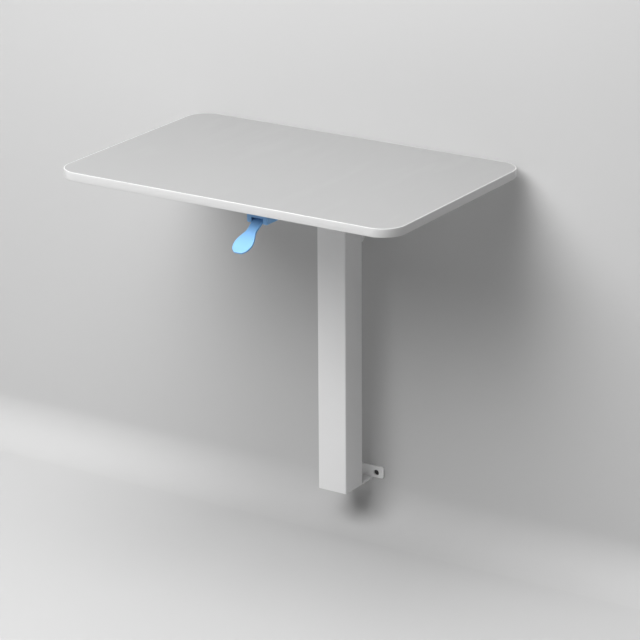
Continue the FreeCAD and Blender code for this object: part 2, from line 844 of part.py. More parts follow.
def release_head():
    y = column_axis_y
    base = box(-head_block_half_width, head_block_half_width, y - head_block_front,
               y + head_block_back, block_bottom_z, rod_top_z)
    pieces = [base]
    inside = rocker_half_width + cheek_gap
    for s in (-1, 1):
        edges = sorted((s * inside, s * (inside + head_cheek)))
        pieces.append(box(edges[0], edges[1], y - head_cheek_ahead, rocker_y + head_cheek_back,
                          rod_top_z, rocker_z + head_cheek_rise))
    half = inside + head_cheek
    pieces.append(box(-half, half, post_y, post_y + post_thickness, rod_top_z,
                      cable_z + post_rise))
    body = fuse_all(pieces)
    tools = [rod(Vec(0, y, block_bottom_z - 1), Z_AXIS, rod_radius, head_block_base + 2),
             rod(Vec(-half - 1, rocker_y, rocker_z), X_AXIS, rocker_pin_radius, 2 * half + 2),
             rod(Vec(0, post_y - 1, cable_z), Y_AXIS, adjuster_thread_radius,
                 post_thickness + 2)]
    return body.cut(tools)


def rocker_pin():
    half = rocker_half_width + cheek_gap + head_cheek
    return rod(Vec(-half, rocker_y, rocker_z), X_AXIS, rocker_pin_radius, 2 * half)


def release_rocker():
    w = rocker_half_width
    nose_y = column_axis_y
    boss = rod(Vec(-w, rocker_y, rocker_z), X_AXIS, rocker_boss_radius, 2 * w)
    nose = rod(Vec(-w, nose_y, rocker_z), X_AXIS, rocker_nose_radius, 2 * w)
    bridge = box(-w, w, nose_y, rocker_y, rocker_z - rocker_web, rocker_z + rocker_nose_radius)
    fork_low, fork_high = rocker_fork
    front = rocker_y - rocker_upright_front
    back = rocker_y + rocker_upright_back
    upright = box(-w, w, front, back, rocker_z, cable_z + fork_high)
    body = fuse_all([boss, nose, bridge, upright])
    pin = rod(Vec(-w - 1, rocker_y, rocker_z), X_AXIS,
              rocker_pin_radius + pin_running_clearance, 2 * w + 2)
    fork = box(-wire_slit, wire_slit, front - 1, back + 1, cable_z - fork_low,
               cable_z + fork_high + 1)
    return body.cut([pin, fork])


def adjuster_front_y():
    return post_y - adjuster_nut_height - adjuster_body_length


def cable_adjuster():
    front = Vec(0, adjuster_front_y(), cable_z)
    body = rod(front, Y_AXIS, adjuster_body_radius, adjuster_body_length)
    thread_start = front + Y_AXIS * adjuster_body_length
    body = fuse_all([body, rod(thread_start, Y_AXIS, adjuster_thread_radius,
                               adjuster_thread_length)])
    end_y = cable_route[-1].y
    seat = rod(front, Y_AXIS, sheath_radius, end_y - front.y)
    way = rod(front, Y_AXIS, sheath_bore, adjuster_body_length + adjuster_thread_length + 1)
    return body.cut([seat, way])


def adjuster_nut():
    return nut(Vec(0, post_y - adjuster_nut_height, cable_z), Y_AXIS, adjuster_nut_flats,
               adjuster_nut_height, adjuster_thread_radius)


# ---- cable ----
def run_trims(points):
    """Tangent length at each inner point: 0.45 of the shorter run beside it."""
    runs = [points[i].distanceToPoint(points[i + 1]) for i in range(len(points) - 1)]
    return [0.45 * min(runs[i], runs[i + 1]) for i in range(len(runs) - 1)]


def rounded_path(points, trims):
    """Straight runs joined by tangent arcs, and the arcs' radii."""
    edges = []
    radii = []
    here = points[0]
    for i in range(1, len(points) - 1):
        back = (points[i - 1] - points[i]).normalize()
        ahead = (points[i + 1] - points[i]).normalize()
        trim = trims[i - 1]
        first = points[i] + back * trim
        last = points[i] + ahead * trim
        turn = math.pi - back.getAngle(ahead)
        radius = trim / math.tan(turn / 2)
        inward = (back + ahead).normalize()
        middle = points[i] + inward * (radius / math.cos(turn / 2) - radius)
        edges.append(Part.LineSegment(here, first).toShape())
        edges.append(Part.Arc(first, middle, last).toShape())
        radii.append(radius)
        here = last
    edges.append(Part.LineSegment(here, points[-1]).toShape())
    return Part.Wire(edges), radii


def swept(path, radius):
    start = path.Vertexes[0].Point
    along = path.Edges[0].tangentAt(path.Edges[0].FirstParameter)
    ring = Part.Wire([Part.makeCircle(radius, start, along)])
    return path.makePipeShell([ring], True, False)


def cable_sheath():
    path, radii = rounded_path(cable_route, run_trims(cable_route))
    body = swept(path, sheath_radius).cut(swept(path, sheath_bore))
    section = math.pi * (sheath_radius ** 2 - sheath_bore ** 2)
    print("cable radii", [round(r) for r in radii], "length", round(path.Length, 1))
    print("cable volume", round(body.Volume, 1), "section x length",
          round(section * path.Length, 1))
    return body


def cable_wire():
    start = Vec(housing_x, pivot_y + nipple_radius + nipple_gap, wire_front_z)
    end = Vec(0, rocker_y + rocker_upright_back + rear_nipple_length, cable_z)
    points = [start] + cable_route[1:-1] + [end]
    path, radii = rounded_path(points, run_trims(cable_route))
    return swept(path, wire_radius)


def rear_nipple():
    start = Vec(0, rocker_y + rocker_upright_back, cable_z)
    return tube(start, Y_AXIS, rear_nipple_radius, wire_radius, rear_nipple_length)


def sheath_ferrule():
    """Cap on the sheath's front end: a shoulder on the housing's rear wall, a nose through it."""
    nose = rod(Vec(housing_x, housing_rear_y - housing_wall, wire_front_z), Y_AXIS,
               ferrule_nose_radius, housing_wall)
    body = rod(Vec(housing_x, housing_rear_y, wire_front_z), Y_AXIS, ferrule_radius,
               ferrule_length)
    seat_y = cable_route[0].y
    seat = rod(Vec(housing_x, seat_y, wire_front_z), Y_AXIS, sheath_radius,
               housing_rear_y + ferrule_length - seat_y + 1)
    way = rod(Vec(housing_x, housing_rear_y - housing_wall - 1, wire_front_z), Y_AXIS,
              sheath_bore, seat_y - housing_rear_y + housing_wall + 2)
    return fuse_all([nose, body]).cut([seat, way])


def cable_grommet():
    start = Vec(0, beam_front_y - grommet_flange, cable_z)
    length = beam_wall + 2 * grommet_flange
    body = rod(start, Y_AXIS, grommet_flange_radius, length)
    groove = tube(start + Y_AXIS * grommet_flange, Y_AXIS, grommet_flange_radius + 1,
                  grommet_neck, beam_wall)
    return body.cut([groove, rod(start - Y_AXIS, Y_AXIS, sheath_radius, length + 2)])


def cable_clips():
    clips = []
    for middle, along in clip_frames():
        half = clip_length / 2
        block = box(middle.x - clip_half_width, middle.x + clip_half_width,
                    middle.y - half, middle.y + half,
                    middle.z - sheath_radius - clip_skin, board_bottom_z)
        flange = box(middle.x, middle.x + clip_half_width + clip_flange, middle.y - half,
                     middle.y + half, board_bottom_z - clip_flange_thickness, board_bottom_z)
        way = rod(middle - along * clip_length, along, sheath_radius + fit_clearance,
                  2 * clip_length)
        x = middle.x + clip_half_width + clip_flange / 2
        screw = rod(Vec(x, middle.y, board_bottom_z - clip_flange_thickness - 1), Z_AXIS,
                    clip_screw_radius + fit_clearance, clip_flange_thickness + 2)
        clips.append(fuse_all([block, flange]).cut([way, screw]))
    return clips


def clip_screws():
    seat = board_bottom_z - clip_flange_thickness
    return [pan_screw(x, y, seat, clip_screw_radius, clip_screw_head, clip_screw_head_height,
                      clip_flange_thickness + board_screw_bite)
            for x, y in clip_screw_places()]


# ---- lever housing ----
def lever_housing():
    w = housing_half_width
    x0 = housing_x - w
    x1 = housing_x + w
    low = housing_bottom_z
    shell = box(x0, x1, housing_front_y, housing_rear_y, low, board_bottom_z)
    uprights = [e for e in shell.Edges if e.BoundBox.ZLength > housing_height / 2]
    shell = shell.makeFillet(housing_side_corner, uprights)
    rim = [e for e in shell.Edges if abs(e.BoundBox.ZMax - low) < 1e-4
           and e.BoundBox.ZLength < 1e-4]
    shell = shell.makeFillet(housing_fillet, rim)
    cavity = box(x0 + housing_wall, x1 - housing_wall, housing_front_y + housing_wall,
                 housing_rear_y - housing_wall, low + housing_wall, board_bottom_z + 1)
    body = shell.cut(cavity)
    bosses = [rod(Vec(x, y, low + 1), Z_AXIS, boss_radius, housing_height - 1)
              for x, y in boss_places()]
    body = fuse_all([body] + bosses)
    half_slot = drum_half_width + slot_side_clearance
    tools = [box(housing_x - half_slot, housing_x + half_slot, housing_front_y - 1,
                 housing_front_y + housing_wall + 1, low - 1, low + slot_top),
             box(housing_x - half_slot, housing_x + half_slot, housing_front_y - 1,
                 housing_front_y + floor_slot, low - 1,
                 low + housing_wall + slot_floor_slack)]
    for x, y in boss_places():
        tools.append(rod(Vec(x, y, low - 1), Z_AXIS, boss_counterbore,
                         boss_counterbore_depth + 1))
        tools.append(rod(Vec(x, y, low), Z_AXIS, boss_screw_radius + fit_clearance,
                         housing_height + 1))
    tools.append(rod(Vec(x0 - 1, pivot_y, pivot_z), X_AXIS, pivot_pin_radius,
                     2 * w + 1 - housing_wall / 2))
    tools.append(rod(Vec(housing_x, housing_rear_y - housing_wall - 1, wire_front_z), Y_AXIS,
                     ferrule_nose_radius, housing_wall + 2))
    return body.cut(tools)


def lever_pivot_pin():
    start = housing_x - housing_half_width + pivot_pin_recess
    end = housing_x + housing_half_width - housing_wall / 2
    return rod(Vec(start, pivot_y, pivot_z), X_AXIS, pivot_pin_radius, end - start)


def housing_screws():
    seat = housing_bottom_z + boss_counterbore_depth
    reach = board_bottom_z - seat + board_screw_bite
    return [pan_screw(x, y, seat, boss_screw_radius, boss_screw_head, boss_screw_head_height,
                      reach) for x, y in boss_places()]


def spring_points():
    """Coil as a run of tangents to its turns, with a straight leg at each end; its axis is Z."""
    steps = spring_turns * spring_facets
    reach = spring_coil_radius / math.cos(math.pi / spring_facets)
    points = [Vec(spring_coil_radius, -spring_leg, 0)]
    for i in range(steps):
        a = 2 * math.pi * (i + 0.5) / spring_facets
        rise = spring_pitch * (i + 0.5) / spring_facets
        points.append(Vec(reach * math.cos(a), reach * math.sin(a), rise))
    points.append(Vec(spring_coil_radius, spring_leg, spring_pitch * spring_turns))
    return points


def return_spring():
    """Torsion spring round the pivot pin, its legs on the housing's floor and the lever's drum."""
    points = spring_points()
    path, radii = rounded_path(points, run_trims(points))
    body = swept(path, spring_wire_radius)
    x0 = housing_x + drum_half_width + spring_side_gap + spring_wire_radius
    turn = FreeCAD.Rotation(Vec(0, 0, 1), X_AXIS)
    body.Placement = FreeCAD.Placement(Vec(x0, pivot_y, pivot_z), turn)
    return body


# ---- paddle ----
def blade_place(along, square):
    """Point of the blade's side view: distance along the blade and square to it, from the pivot."""
    a = math.radians(lever_slope_deg)
    return (pivot_y - along * math.cos(a) - square * math.sin(a),
            pivot_z - along * math.sin(a) + square * math.cos(a))


def blade_outline():
    """Half widths along the blade: straight root, waist, round paddle and flat tip."""
    tip = blade_length
    return [(26, blade_root), (34, blade_root * 0.96), (42, blade_neck), (62, blade_widest * 0.84),
            (82, blade_widest), (tip - 8, blade_widest * 0.8), (tip, blade_tip)]


def blade():
    """The blade lies flat at first: length along -Y, width along X."""
    stations = blade_outline()
    right = [Vec(w, -s, 0) for s, w in stations]
    left = [Vec(-w, -s, 0) for s, w in reversed(stations)]
    curve_right = Part.BSplineCurve()
    curve_right.interpolate(right)
    curve_left = Part.BSplineCurve()
    curve_left.interpolate(left)
    edges = [curve_right.toShape(),
             Part.LineSegment(right[-1], left[0]).toShape(),
             curve_left.toShape(),
             Part.LineSegment(left[-1], Vec(-blade_root, 0, 0)).toShape(),
             Part.LineSegment(Vec(-blade_root, 0, 0), Vec(blade_root, 0, 0)).toShape(),
             Part.LineSegment(Vec(blade_root, 0, 0), right[0]).toShape()]
    plate = Part.Face(Part.Wire(edges)).extrude(Vec(0, 0, blade_thickness))
    rims = [e for e in plate.Edges if e.BoundBox.ZLength < 1e-4 and e.BoundBox.YMin < -1]
    plate = plate.makeFillet(blade_round, rims)
    plate.translate(Vec(0, 0, -lever_top_drop - blade_thickness))
    plate.rotate(Vec(0, 0, 0), X_AXIS, lever_slope_deg)
    plate.translate(Vec(housing_x, pivot_y, pivot_z))
    return plate


def paddle_lever():
    start = Vec(housing_x - drum_half_width, pivot_y, pivot_z)
    drum = rod(start, X_AXIS, drum_radius, 2 * drum_half_width)
    body = fuse_all([drum, blade()])
    pin = rod(start - X_AXIS, X_AXIS, pivot_pin_radius + pin_running_clearance,
              2 * drum_half_width + 2)
    seat = rod(Vec(housing_x - nipple_half_length, pivot_y, wire_front_z), X_AXIS,
               nipple_radius + nipple_play / 2, drum_half_width + nipple_half_length + 1)
    low = pivot_z - pivot_pin_radius - pin_running_clearance - 1
    slit = box(housing_x - wire_slit, housing_x + wire_slit, pivot_y, pivot_y + drum_radius + 1,
               pivot_z - drum_radius - 1, low)
    rear_slit = box(housing_x - wire_slit, housing_x + wire_slit,
                    pivot_y + pivot_pin_radius + 1.5, pivot_y + drum_radius + 1, low - 1,
                    pivot_z)
    return body.cut([pin, seat, slit, rear_slit])


def lever_nipple():
    return rod(Vec(housing_x - nipple_half_length, pivot_y, wire_front_z), X_AXIS,
               nipple_radius, 2 * nipple_half_length)


def main():
    os.makedirs("parts", exist_ok=True)
    save("outer_column", outer_column())
    save("lower_wall_bracket", lower_wall_bracket())
    save("base_plug", base_plug())
    save("base_screws", base_screws())
    save("upper_wall_bracket", upper_wall_bracket())
    save("upper_column_block", upper_column_block())
    save("upper_bracket_bolts", upper_bracket_bolts())
    save("guide_bush", guide_bush())
    save("bush_screws", bush_screws())
    save("spring_strut", spring_strut())
    save("gas_spring_nut", gas_spring_nut())
    save("gas_spring_cylinder", gas_spring_cylinder())
    save("gas_spring_guide", gas_spring_guide())
    save("inner_column", inner_column())
    save("glide_shoe", glide_shoe())
    save("head_plate", head_plate())
    save("head_bolts", head_bolts())
    save("rubber_buffer", rubber_buffer())
    save("crossbeam", crossbeam())
    save("beam_end_caps", beam_end_caps())
    save("left_arm", arm(-1))
    save("right_arm", arm(1))
    save("arm_bolts", arm_bolts())
    save("arm_nuts", arm_nuts())
    save("arm_end_caps", arm_end_caps())
    save("board_core", board_core())
    save("top_laminate", top_laminate())
    save("bottom_laminate", bottom_laminate())
    save("edge_band", edge_band())
    save("board_screws", board_screws())
    save("gas_spring_rod", gas_spring_rod())
    save("gas_spring_piston", gas_spring_piston())
    save("rod_nut", rod_nut())
    save("release_head", release_head())
    save("rocker_pin", rocker_pin())
    save("cable_adjuster", cable_adjuster())
    save("adjuster_nut", adjuster_nut())
    save("cable_sheath", cable_sheath())
    save("cable_wire", cable_wire())
    save("rear_nipple", rear_nipple())
    save("sheath_ferrule", sheath_ferrule())
    save("cable_grommet", cable_grommet())
    save("cable_clips", cable_clips())
    save("clip_screws", clip_screws())
    save("lever_housing", lever_housing())
    save("lever_pivot_pin", lever_pivot_pin())
    save("housing_screws", housing_screws())
    save("return_spring", return_spring())
    save("paddle_lever", paddle_lever())
    save("lever_nipple", lever_nipple())
    save("release_rocker", release_rocker())
    save("release_pin", release_pin())


main()
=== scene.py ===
# Looks of the wall-mounted changing table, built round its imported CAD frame. Metres throughout:
# +X runs along the wall, -Y comes out into the room, +Z is up.
import math

import bmesh
import bpy
from mathutils import Matrix, Vector


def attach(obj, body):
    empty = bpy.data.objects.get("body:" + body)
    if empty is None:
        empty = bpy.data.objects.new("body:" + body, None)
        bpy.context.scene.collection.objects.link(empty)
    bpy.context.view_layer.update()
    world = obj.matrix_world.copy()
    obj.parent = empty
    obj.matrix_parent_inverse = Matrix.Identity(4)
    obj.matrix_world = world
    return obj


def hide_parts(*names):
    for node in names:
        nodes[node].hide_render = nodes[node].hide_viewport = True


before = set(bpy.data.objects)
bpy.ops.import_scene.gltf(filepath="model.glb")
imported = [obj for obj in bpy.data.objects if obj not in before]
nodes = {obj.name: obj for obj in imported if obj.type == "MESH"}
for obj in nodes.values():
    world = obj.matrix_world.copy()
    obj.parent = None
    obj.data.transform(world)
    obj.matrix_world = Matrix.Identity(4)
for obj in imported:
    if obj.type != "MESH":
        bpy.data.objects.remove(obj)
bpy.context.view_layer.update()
mm = 0.001
print("frame loaded with", len(nodes), "nodes")


class Wire:
    # A socket of one tree that Python's operators work on; every operation adds a Math node.
    def __init__(self, graph, socket):
        self.graph = graph
        self.socket = socket

    def out(self, name):
        return Wire(self.graph, self.socket.node.outputs[name])

    def calc(self, operation, *others):
        return self.graph.math(operation, self, *others)

    def __add__(self, other):
        return self.calc("ADD", other)

    def __radd__(self, other):
        return self.calc("ADD", other)

    def __sub__(self, other):
        return self.calc("SUBTRACT", other)

    def __rsub__(self, other):
        return self.graph.math("SUBTRACT", other, self)

    def __mul__(self, other):
        return self.calc("MULTIPLY", other)

    def __rmul__(self, other):
        return self.calc("MULTIPLY", other)

    def __truediv__(self, other):
        return self.calc("DIVIDE", other)

    def __rtruediv__(self, other):
        return self.graph.math("DIVIDE", other, self)

    def __pow__(self, other):
        return self.calc("POWER", other)


class Graph:
    # Adds nodes to one tree: settings first, then each input's value or link.
    def __init__(self, tree):
        self.tree = tree

    def add(self, kind, settings=None, inputs=None, out=0):
        node = self.tree.nodes.new(kind)
        for name, value in (settings or {}).items():
            if name == "stops":
                self.setRamp(node.color_ramp, value)
            else:
                setattr(node, name, value)
        for key, value in (inputs or {}).items():
            for item in value if isinstance(value, list) else [value]:
                if isinstance(item, Wire):
                    self.tree.links.new(item.socket, node.inputs[key])
                else:
                    node.inputs[key].default_value = item
        return Wire(self, node.outputs[out])

    def setRamp(self, ramp, stops):
        while len(ramp.elements) < len(stops):
            ramp.elements.new(0.5)
        for element, (place, value) in zip(ramp.elements, stops):
            element.position = place
            element.color = (value, value, value, 1)

    def math(self, operation, *values):
        return self.add("ShaderNodeMath", {"operation": operation}, dict(enumerate(values)))

    def vector(self, operation, a, b, out="Vector"):
        return self.add("ShaderNodeVectorMath", {"operation": operation}, {0: a, 1: b}, out)

    def mixColor(self, factor, a, b, blend="MIX"):
        settings = {"data_type": "RGBA", "blend_type": blend}
        return self.add("ShaderNodeMix", settings, {0: factor, 6: a, 7: b}, 2)


def gray(value):
    return (value, value, value, 1)


def tinted(color, factor):
    return tuple(min(1, c * factor) for c in color[:3]) + (1,)


class Finish:
    # One material: the surface's own numbers on the shader, and the patterns that change over it.
    def __init__(self, name, **numbers):
        self.material = bpy.data.materials.new(name)
        self.material.use_nodes = True
        self.graph = Graph(self.material.node_tree)
        self.shader = self.material.node_tree.nodes["Principled BSDF"]
        for label, value in numbers.items():
            self.shader.inputs[label.replace("_", " ")].default_value = value
        self.place = self.graph.add("ShaderNodeTexCoord", out="Object")

    def stretched(self, scale):
        return self.graph.add("ShaderNodeMapping", {}, {"Vector": self.place, "Scale": scale})

    def noise(self, size, detail=2.0, stretch=None, roughness=0.5):
        # size is one cell of the pattern in metres
        where = self.stretched(stretch) if stretch else self.place
        inputs = {"Vector": where, "Scale": 1 / size, "Detail": detail, "Roughness": roughness}
        return self.graph.add("ShaderNodeTexNoise", {}, inputs)

    def cells(self, size, feature="F1", out="Distance"):
        inputs = {"Vector": self.place, "Scale": 1 / size}
        return self.graph.add("ShaderNodeTexVoronoi", {"feature": feature}, inputs, out)

    def between(self, value, low, high, start=0.0, end=1.0):
        inputs = {"Value": value, "From Min": low, "From Max": high, "To Min": start, "To Max": end}
        return self.graph.add("ShaderNodeMapRange", {"interpolation_type": "SMOOTHSTEP"}, inputs)

    def edges(self, radius, low=0.02, high=0.25):
        # 1 on edges and 0 on flat faces: the mask for lighter edges, partly rubbed wear and partly
        #                                 painted highlight
        rounded = self.graph.add("ShaderNodeBevel", {"samples": 4}, {"Radius": radius})
        flat = self.graph.add("ShaderNodeNewGeometry", out="Normal")
        same = self.graph.vector("DOT_PRODUCT", rounded, flat, "Value")
        return self.between(1 - same, low, high)

    def color(self, value):
        self.graph.tree.links.new(value.socket, self.shader.inputs["Base Color"])

    def roughness(self, value):
        self.graph.tree.links.new(value.socket, self.shader.inputs["Roughness"])

    def bump(self, height, distance, strength=1.0):
        inputs = {"Height": height, "Distance": distance, "Strength": strength}
        node = self.graph.add("ShaderNodeBump", {}, inputs)
        self.graph.tree.links.new(node.socket, self.shader.inputs["Normal"])


def coating(name, base, spec):
    # Baked powder coat: orange-peel skin, a faint drift in shade, edges lighter as wear and painted
    # highlight.
    look = Finish(name, Coat_Roughness=spec["coatRoughness"], Coat_Weight=spec["coat"])
    peel = look.noise(spec["peelSize"], 1.5)
    drift = look.noise(spec["driftSize"], 3.0)
    wearAndHighlight = look.edges(spec["edge"]) * look.between(look.noise(spec["chipSize"], 4.0), 0.35, 0.7)
    shade = look.graph.mixColor(drift, tinted(base, 1 - spec["drift"]), tinted(base, 1 + spec["drift"]))
    # Edges take a lighter colour: partly rubbed wear, partly painted highlight on the edges.
    look.color(look.graph.mixColor(wearAndHighlight * spec["wear"], shade, tinted(base, spec["edgeWearAndHighlightTint"])))
    look.roughness(spec["roughness"] + (drift - 0.5) * 0.12 - wearAndHighlight * 0.12)
    look.bump(peel, spec["peelHeight"])
    return look.material


coatSpec = {
    "peelSize": 1.6 * mm, "peelHeight": 0.06 * mm, "driftSize": 0.11, "drift": 0.018,
    "edge": 0.7 * mm, "chipSize": 2.5 * mm, "wear": 0.5, "edgeWearAndHighlightTint": 1.12,
    "roughness": 0.46, "coat": 0.12, "coatRoughness": 0.3,
}


def moulded(name, base, spec):
    # Injection-moulded plastic: fine spark-eroded grain, soft scuffs, paler corners as wear and painted
    # highlight.
    look = Finish(name, Coat_Roughness=0.35, Coat_Weight=spec["coat"], IOR=1.49)
    grain = look.noise(spec["grainSize"], 2.0)
    cloud = look.noise(spec["cloudSize"], 3.0)
    scuff = look.between(look.noise(spec["scuffSize"], 5.0, (1, 0.16, 1)), 0.6, 0.78)
    wearAndHighlight = look.edges(spec["edge"])
    shade = look.graph.mixColor(cloud, tinted(base, 0.97), tinted(base, 1.03))
    # Corners take a paler colour: partly worn plastic, partly painted highlight on the edges.
    look.color(look.graph.mixColor(wearAndHighlight * spec["wear"], shade, tinted(base, spec["edgeWearAndHighlightTint"])))
    look.roughness(spec["roughness"] + scuff * 0.1 + (cloud - 0.5) * 0.08 - wearAndHighlight * 0.06)
    look.bump(grain, spec["grainHeight"])
    return look.material


plasticSpec = {
    "grainSize": 0.35 * mm, "grainHeight": 0.02 * mm, "cloudSize": 0.03, "scuffSize": 0.006,
    "edge": 0.6 * mm, "wear": 0.45, "edgeWearAndHighlightTint": 1.25, "roughness": 0.38, "coat": 0.15,
}


def bareMetal(name, base, spec):
    # Plated or turned steel and aluminium: drawn lines along one axis, a mottled tone, brighter rims as
    # wear and painted highlight.
    look = Finish(name, Metallic=1.0)
    lines = look.noise(spec["lineSize"], 3.0, spec["stretch"])
    mottle = look.cells(spec["mottleSize"], "SMOOTH_F1")
    cloud = look.noise(spec["cloudSize"], 4.0)
    wearAndHighlight = look.edges(spec["edge"])
    tone = look.graph.mixColor(cloud * 0.6 + mottle * 0.4, tinted(base, 0.84), tinted(base, 1.08))
    # Rims take a brighter colour: partly worn bright, partly painted highlight on the edges.
    look.color(look.graph.mixColor(wearAndHighlight * 0.5, tone, tinted(base, 1.25)))
    look.roughness(spec["roughness"] + (cloud - 0.5) * 0.16 + (lines - 0.5) * 0.12)
    look.bump(lines, spec["lineHeight"])
    return look.material


metalSpec = {
    "zincSteel": ((0.62, 0.64, 0.66, 1), {
        "lineSize": 0.5 * mm, "stretch": (1, 1, 1), "mottleSize": 1.2 * mm, "cloudSize": 4 * mm,
        "edge": 0.25 * mm, "roughness": 0.34, "lineHeight": 0.008 * mm}),
    "plainSteel": ((0.42, 0.42, 0.43, 1), {
        "lineSize": 0.7 * mm, "stretch": (1, 1, 0.05), "mottleSize": 3 * mm, "cloudSize": 9 * mm,
        "edge": 0.3 * mm, "roughness": 0.42, "lineHeight": 0.01 * mm}),
    "springSteel": ((0.3, 0.3, 0.32, 1), {
        "lineSize": 0.3 * mm, "stretch": (1, 1, 1), "mottleSize": 1 * mm, "cloudSize": 3 * mm,
        "edge": 0.2 * mm, "roughness": 0.36, "lineHeight": 0.005 * mm}),
    "hardChrome": ((0.72, 0.73, 0.75, 1), {
        "lineSize": 0.4 * mm, "stretch": (1, 1, 6), "mottleSize": 5 * mm, "cloudSize": 20 * mm,
        "edge": 0.3 * mm, "roughness": 0.13, "lineHeight": 0.001 * mm}),
    "machinedAluminium": ((0.72, 0.73, 0.74, 1), {
        "lineSize": 0.6 * mm, "stretch": (0.06, 1, 1), "mottleSize": 3 * mm, "cloudSize": 12 * mm,
        "edge": 0.3 * mm, "roughness": 0.33, "lineHeight": 0.012 * mm}),
    "castAluminium": ((0.58, 0.58, 0.57, 1), {
        "lineSize": 0.9 * mm, "stretch": (1, 1, 1), "mottleSize": 1.8 * mm, "cloudSize": 8 * mm,
        "edge": 0.4 * mm, "roughness": 0.52, "lineHeight": 0.05 * mm}),
}


def laminate(name, base, spec):
    # Melamine sheet: a pearl grain that is felt more than seen, with faint wiping marks.
    look = Finish(name, IOR=1.52)
    grain = look.noise(spec["grainSize"], 3.0)
    speck = look.between(look.noise(spec["speckSize"], 1.0), 0.62, 0.75)
    cloud = look.noise(spec["cloudSize"], 2.0)
    wiped = look.between(look.noise(spec["wipeSize"], 4.0, (1, 0.2, 1)), 0.5, 0.75)
    shade = look.graph.mixColor(cloud, tinted(base, 0.985), tinted(base, 1.015))
    look.color(look.graph.mixColor(speck * spec["speck"], shade, tinted(base, 0.8)))
    look.roughness(spec["roughness"] + (grain - 0.5) * 0.1 - wiped * 0.05)
    look.bump(grain, spec["grainHeight"])
    return look.material


laminateSpec = {
    "grainSize": 0.6 * mm, "grainHeight": 0.025 * mm, "speckSize": 0.9 * mm, "speck": 0.16,
    "cloudSize": 0.12, "wipeSize": 0.05, "roughness": 0.5,
}


def chipboard(name, spec):
    # Sawn particle board: pale and dark flakes pressed flat, with pores between them painted dark as
    # shade.
    look = Finish(name)
    flakes = look.cells(spec["flakeSize"], "F1", "Color")
    tone = look.graph.add("ShaderNodeSeparateColor", {}, {"Color": flakes})
    pores = look.between(look.noise(spec["poreSize"], 3.0), 0.28, 0.42)
    body = look.graph.mixColor(tone, spec["dark"], spec["pale"])
    # The pores take a near-black brown: painted shade in the hollows between flakes.
    look.color(look.graph.mixColor(pores, spec["gap"], body))
    look.roughness(0.75 + (tone - 0.5) * 0.15)
    look.bump(pores, 0.2 * mm)
    return look.material


boardSpec = {
    "flakeSize": 1.6 * mm, "poreSize": 0.9 * mm, "dark": (0.3, 0.19, 0.1, 1),
    "pale": (0.62, 0.46, 0.29, 1), "gap": (0.12, 0.07, 0.04, 1),
}


def rubber(name, base, spec):
    # Black rubber with a dusty bloom and a fine pebbled skin.
    look = Finish(name)
    bloom = look.between(look.noise(spec["bloomSize"], 5.0), 0.4, 0.75)
    look.color(look.graph.mixColor(bloom * 0.5, base, tinted(base, 2.2)))
    look.roughness(0.62 + bloom * 0.18)
    look.bump(look.noise(spec["pebbleSize"], 2.0), 0.05 * mm)
    return look.material


paints = {
    "powderCoat": coating("powderCoat", gray(0.8), coatSpec),
    # Black paint and black plastic get edges several times lighter: partly worn, partly painted
    # highlight.
    "blackPaint": coating("blackPaint", gray(0.03), dict(coatSpec, coat=0.5, edgeWearAndHighlightTint=4.0, wear=0.3)),
    "bluePlastic": moulded("bluePlastic", (0.2, 0.43, 0.75, 1), plasticSpec),
    "greyPlastic": moulded("greyPlastic", gray(0.5), plasticSpec),
    "blackPlastic": moulded("blackPlastic", gray(0.025), dict(plasticSpec, edgeWearAndHighlightTint=2.5)),
    "greyLaminate": laminate("greyLaminate", gray(0.295), laminateSpec),
    "backingLaminate": laminate("backingLaminate", gray(0.55), dict(laminateSpec, roughness=0.6)),
    "edgeBand": laminate("edgeBand", gray(0.58), dict(laminateSpec, speck=0.04, roughness=0.42)),
    "particleBoard": chipboard("particleBoard", boardSpec),
    "blackRubber": rubber("blackRubber", gray(0.02), {"bloomSize": 0.012, "pebbleSize": 0.5 * mm}),
}
for paintName, (paintBase, paintSpec) in metalSpec.items():
    paints[paintName] = bareMetal(paintName, paintBase, paintSpec)
print("finishes made", len(paints))


def settle(piece, body, standsFor=()):
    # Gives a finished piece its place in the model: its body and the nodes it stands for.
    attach(piece, body)
    if standsFor:
        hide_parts(*standsFor)


def addPiece(name, mesh, paint=None):
    piece = bpy.data.objects.new(name, mesh)
    bpy.context.scene.collection.objects.link(piece)
    if paint:
        mesh.materials.clear()
        mesh.materials.append(paints[paint])
    return piece


def bake(piece, sharpDegrees):
    # Turns the evaluated piece into a plain mesh with closed seams and outward faces.
    depsgraph = bpy.context.evaluated_depsgraph_get()
    made = bpy.data.meshes.new_from_object(piece.evaluated_get(depsgraph))
    piece.modifiers.clear()
    shell = bmesh.new()
    shell.from_mesh(made)
    bmesh.ops.remove_doubles(shell, verts=shell.verts, dist=1e-6)
    bmesh.ops.recalc_face_normals(shell, faces=shell.faces)
    shell.to_mesh(made)
    shell.free()
    made.shade_smooth()
    made.set_sharp_from_angle(angle=math.radians(sharpDegrees))
    made.name = piece.name
    piece.data = made


# Shape trees
def newTree(name, numbers):
    tree = bpy.data.node_groups.new(name, "GeometryNodeTree")
    tree.interface.new_socket("Geometry", in_out="INPUT", socket_type="NodeSocketGeometry")
    for label, value in numbers.items():
        kind = "NodeSocketInt" if isinstance(value, int) else "NodeSocketFloat"
        socket = tree.interface.new_socket(label, in_out="INPUT", socket_type=kind)
        socket.default_value = value
    tree.interface.new_socket("Finish", in_out="INPUT", socket_type="NodeSocketMaterial")
    tree.interface.new_socket("Geometry", in_out="OUTPUT", socket_type="NodeSocketGeometry")
    graph = Graph(tree)
    start = graph.add("NodeGroupInput")
    return graph, start


def closeTree(graph, start, shape):
    real = graph.add("GeometryNodeRealizeInstances", {}, {0: shape})
    done = graph.add("GeometryNodeSetMaterial", {}, {"Geometry": real, "Material": start.out("Finish")})
    end = graph.tree.nodes.new("NodeGroupOutput")
    graph.tree.links.new(done.socket, end.inputs[0])
    return graph.tree


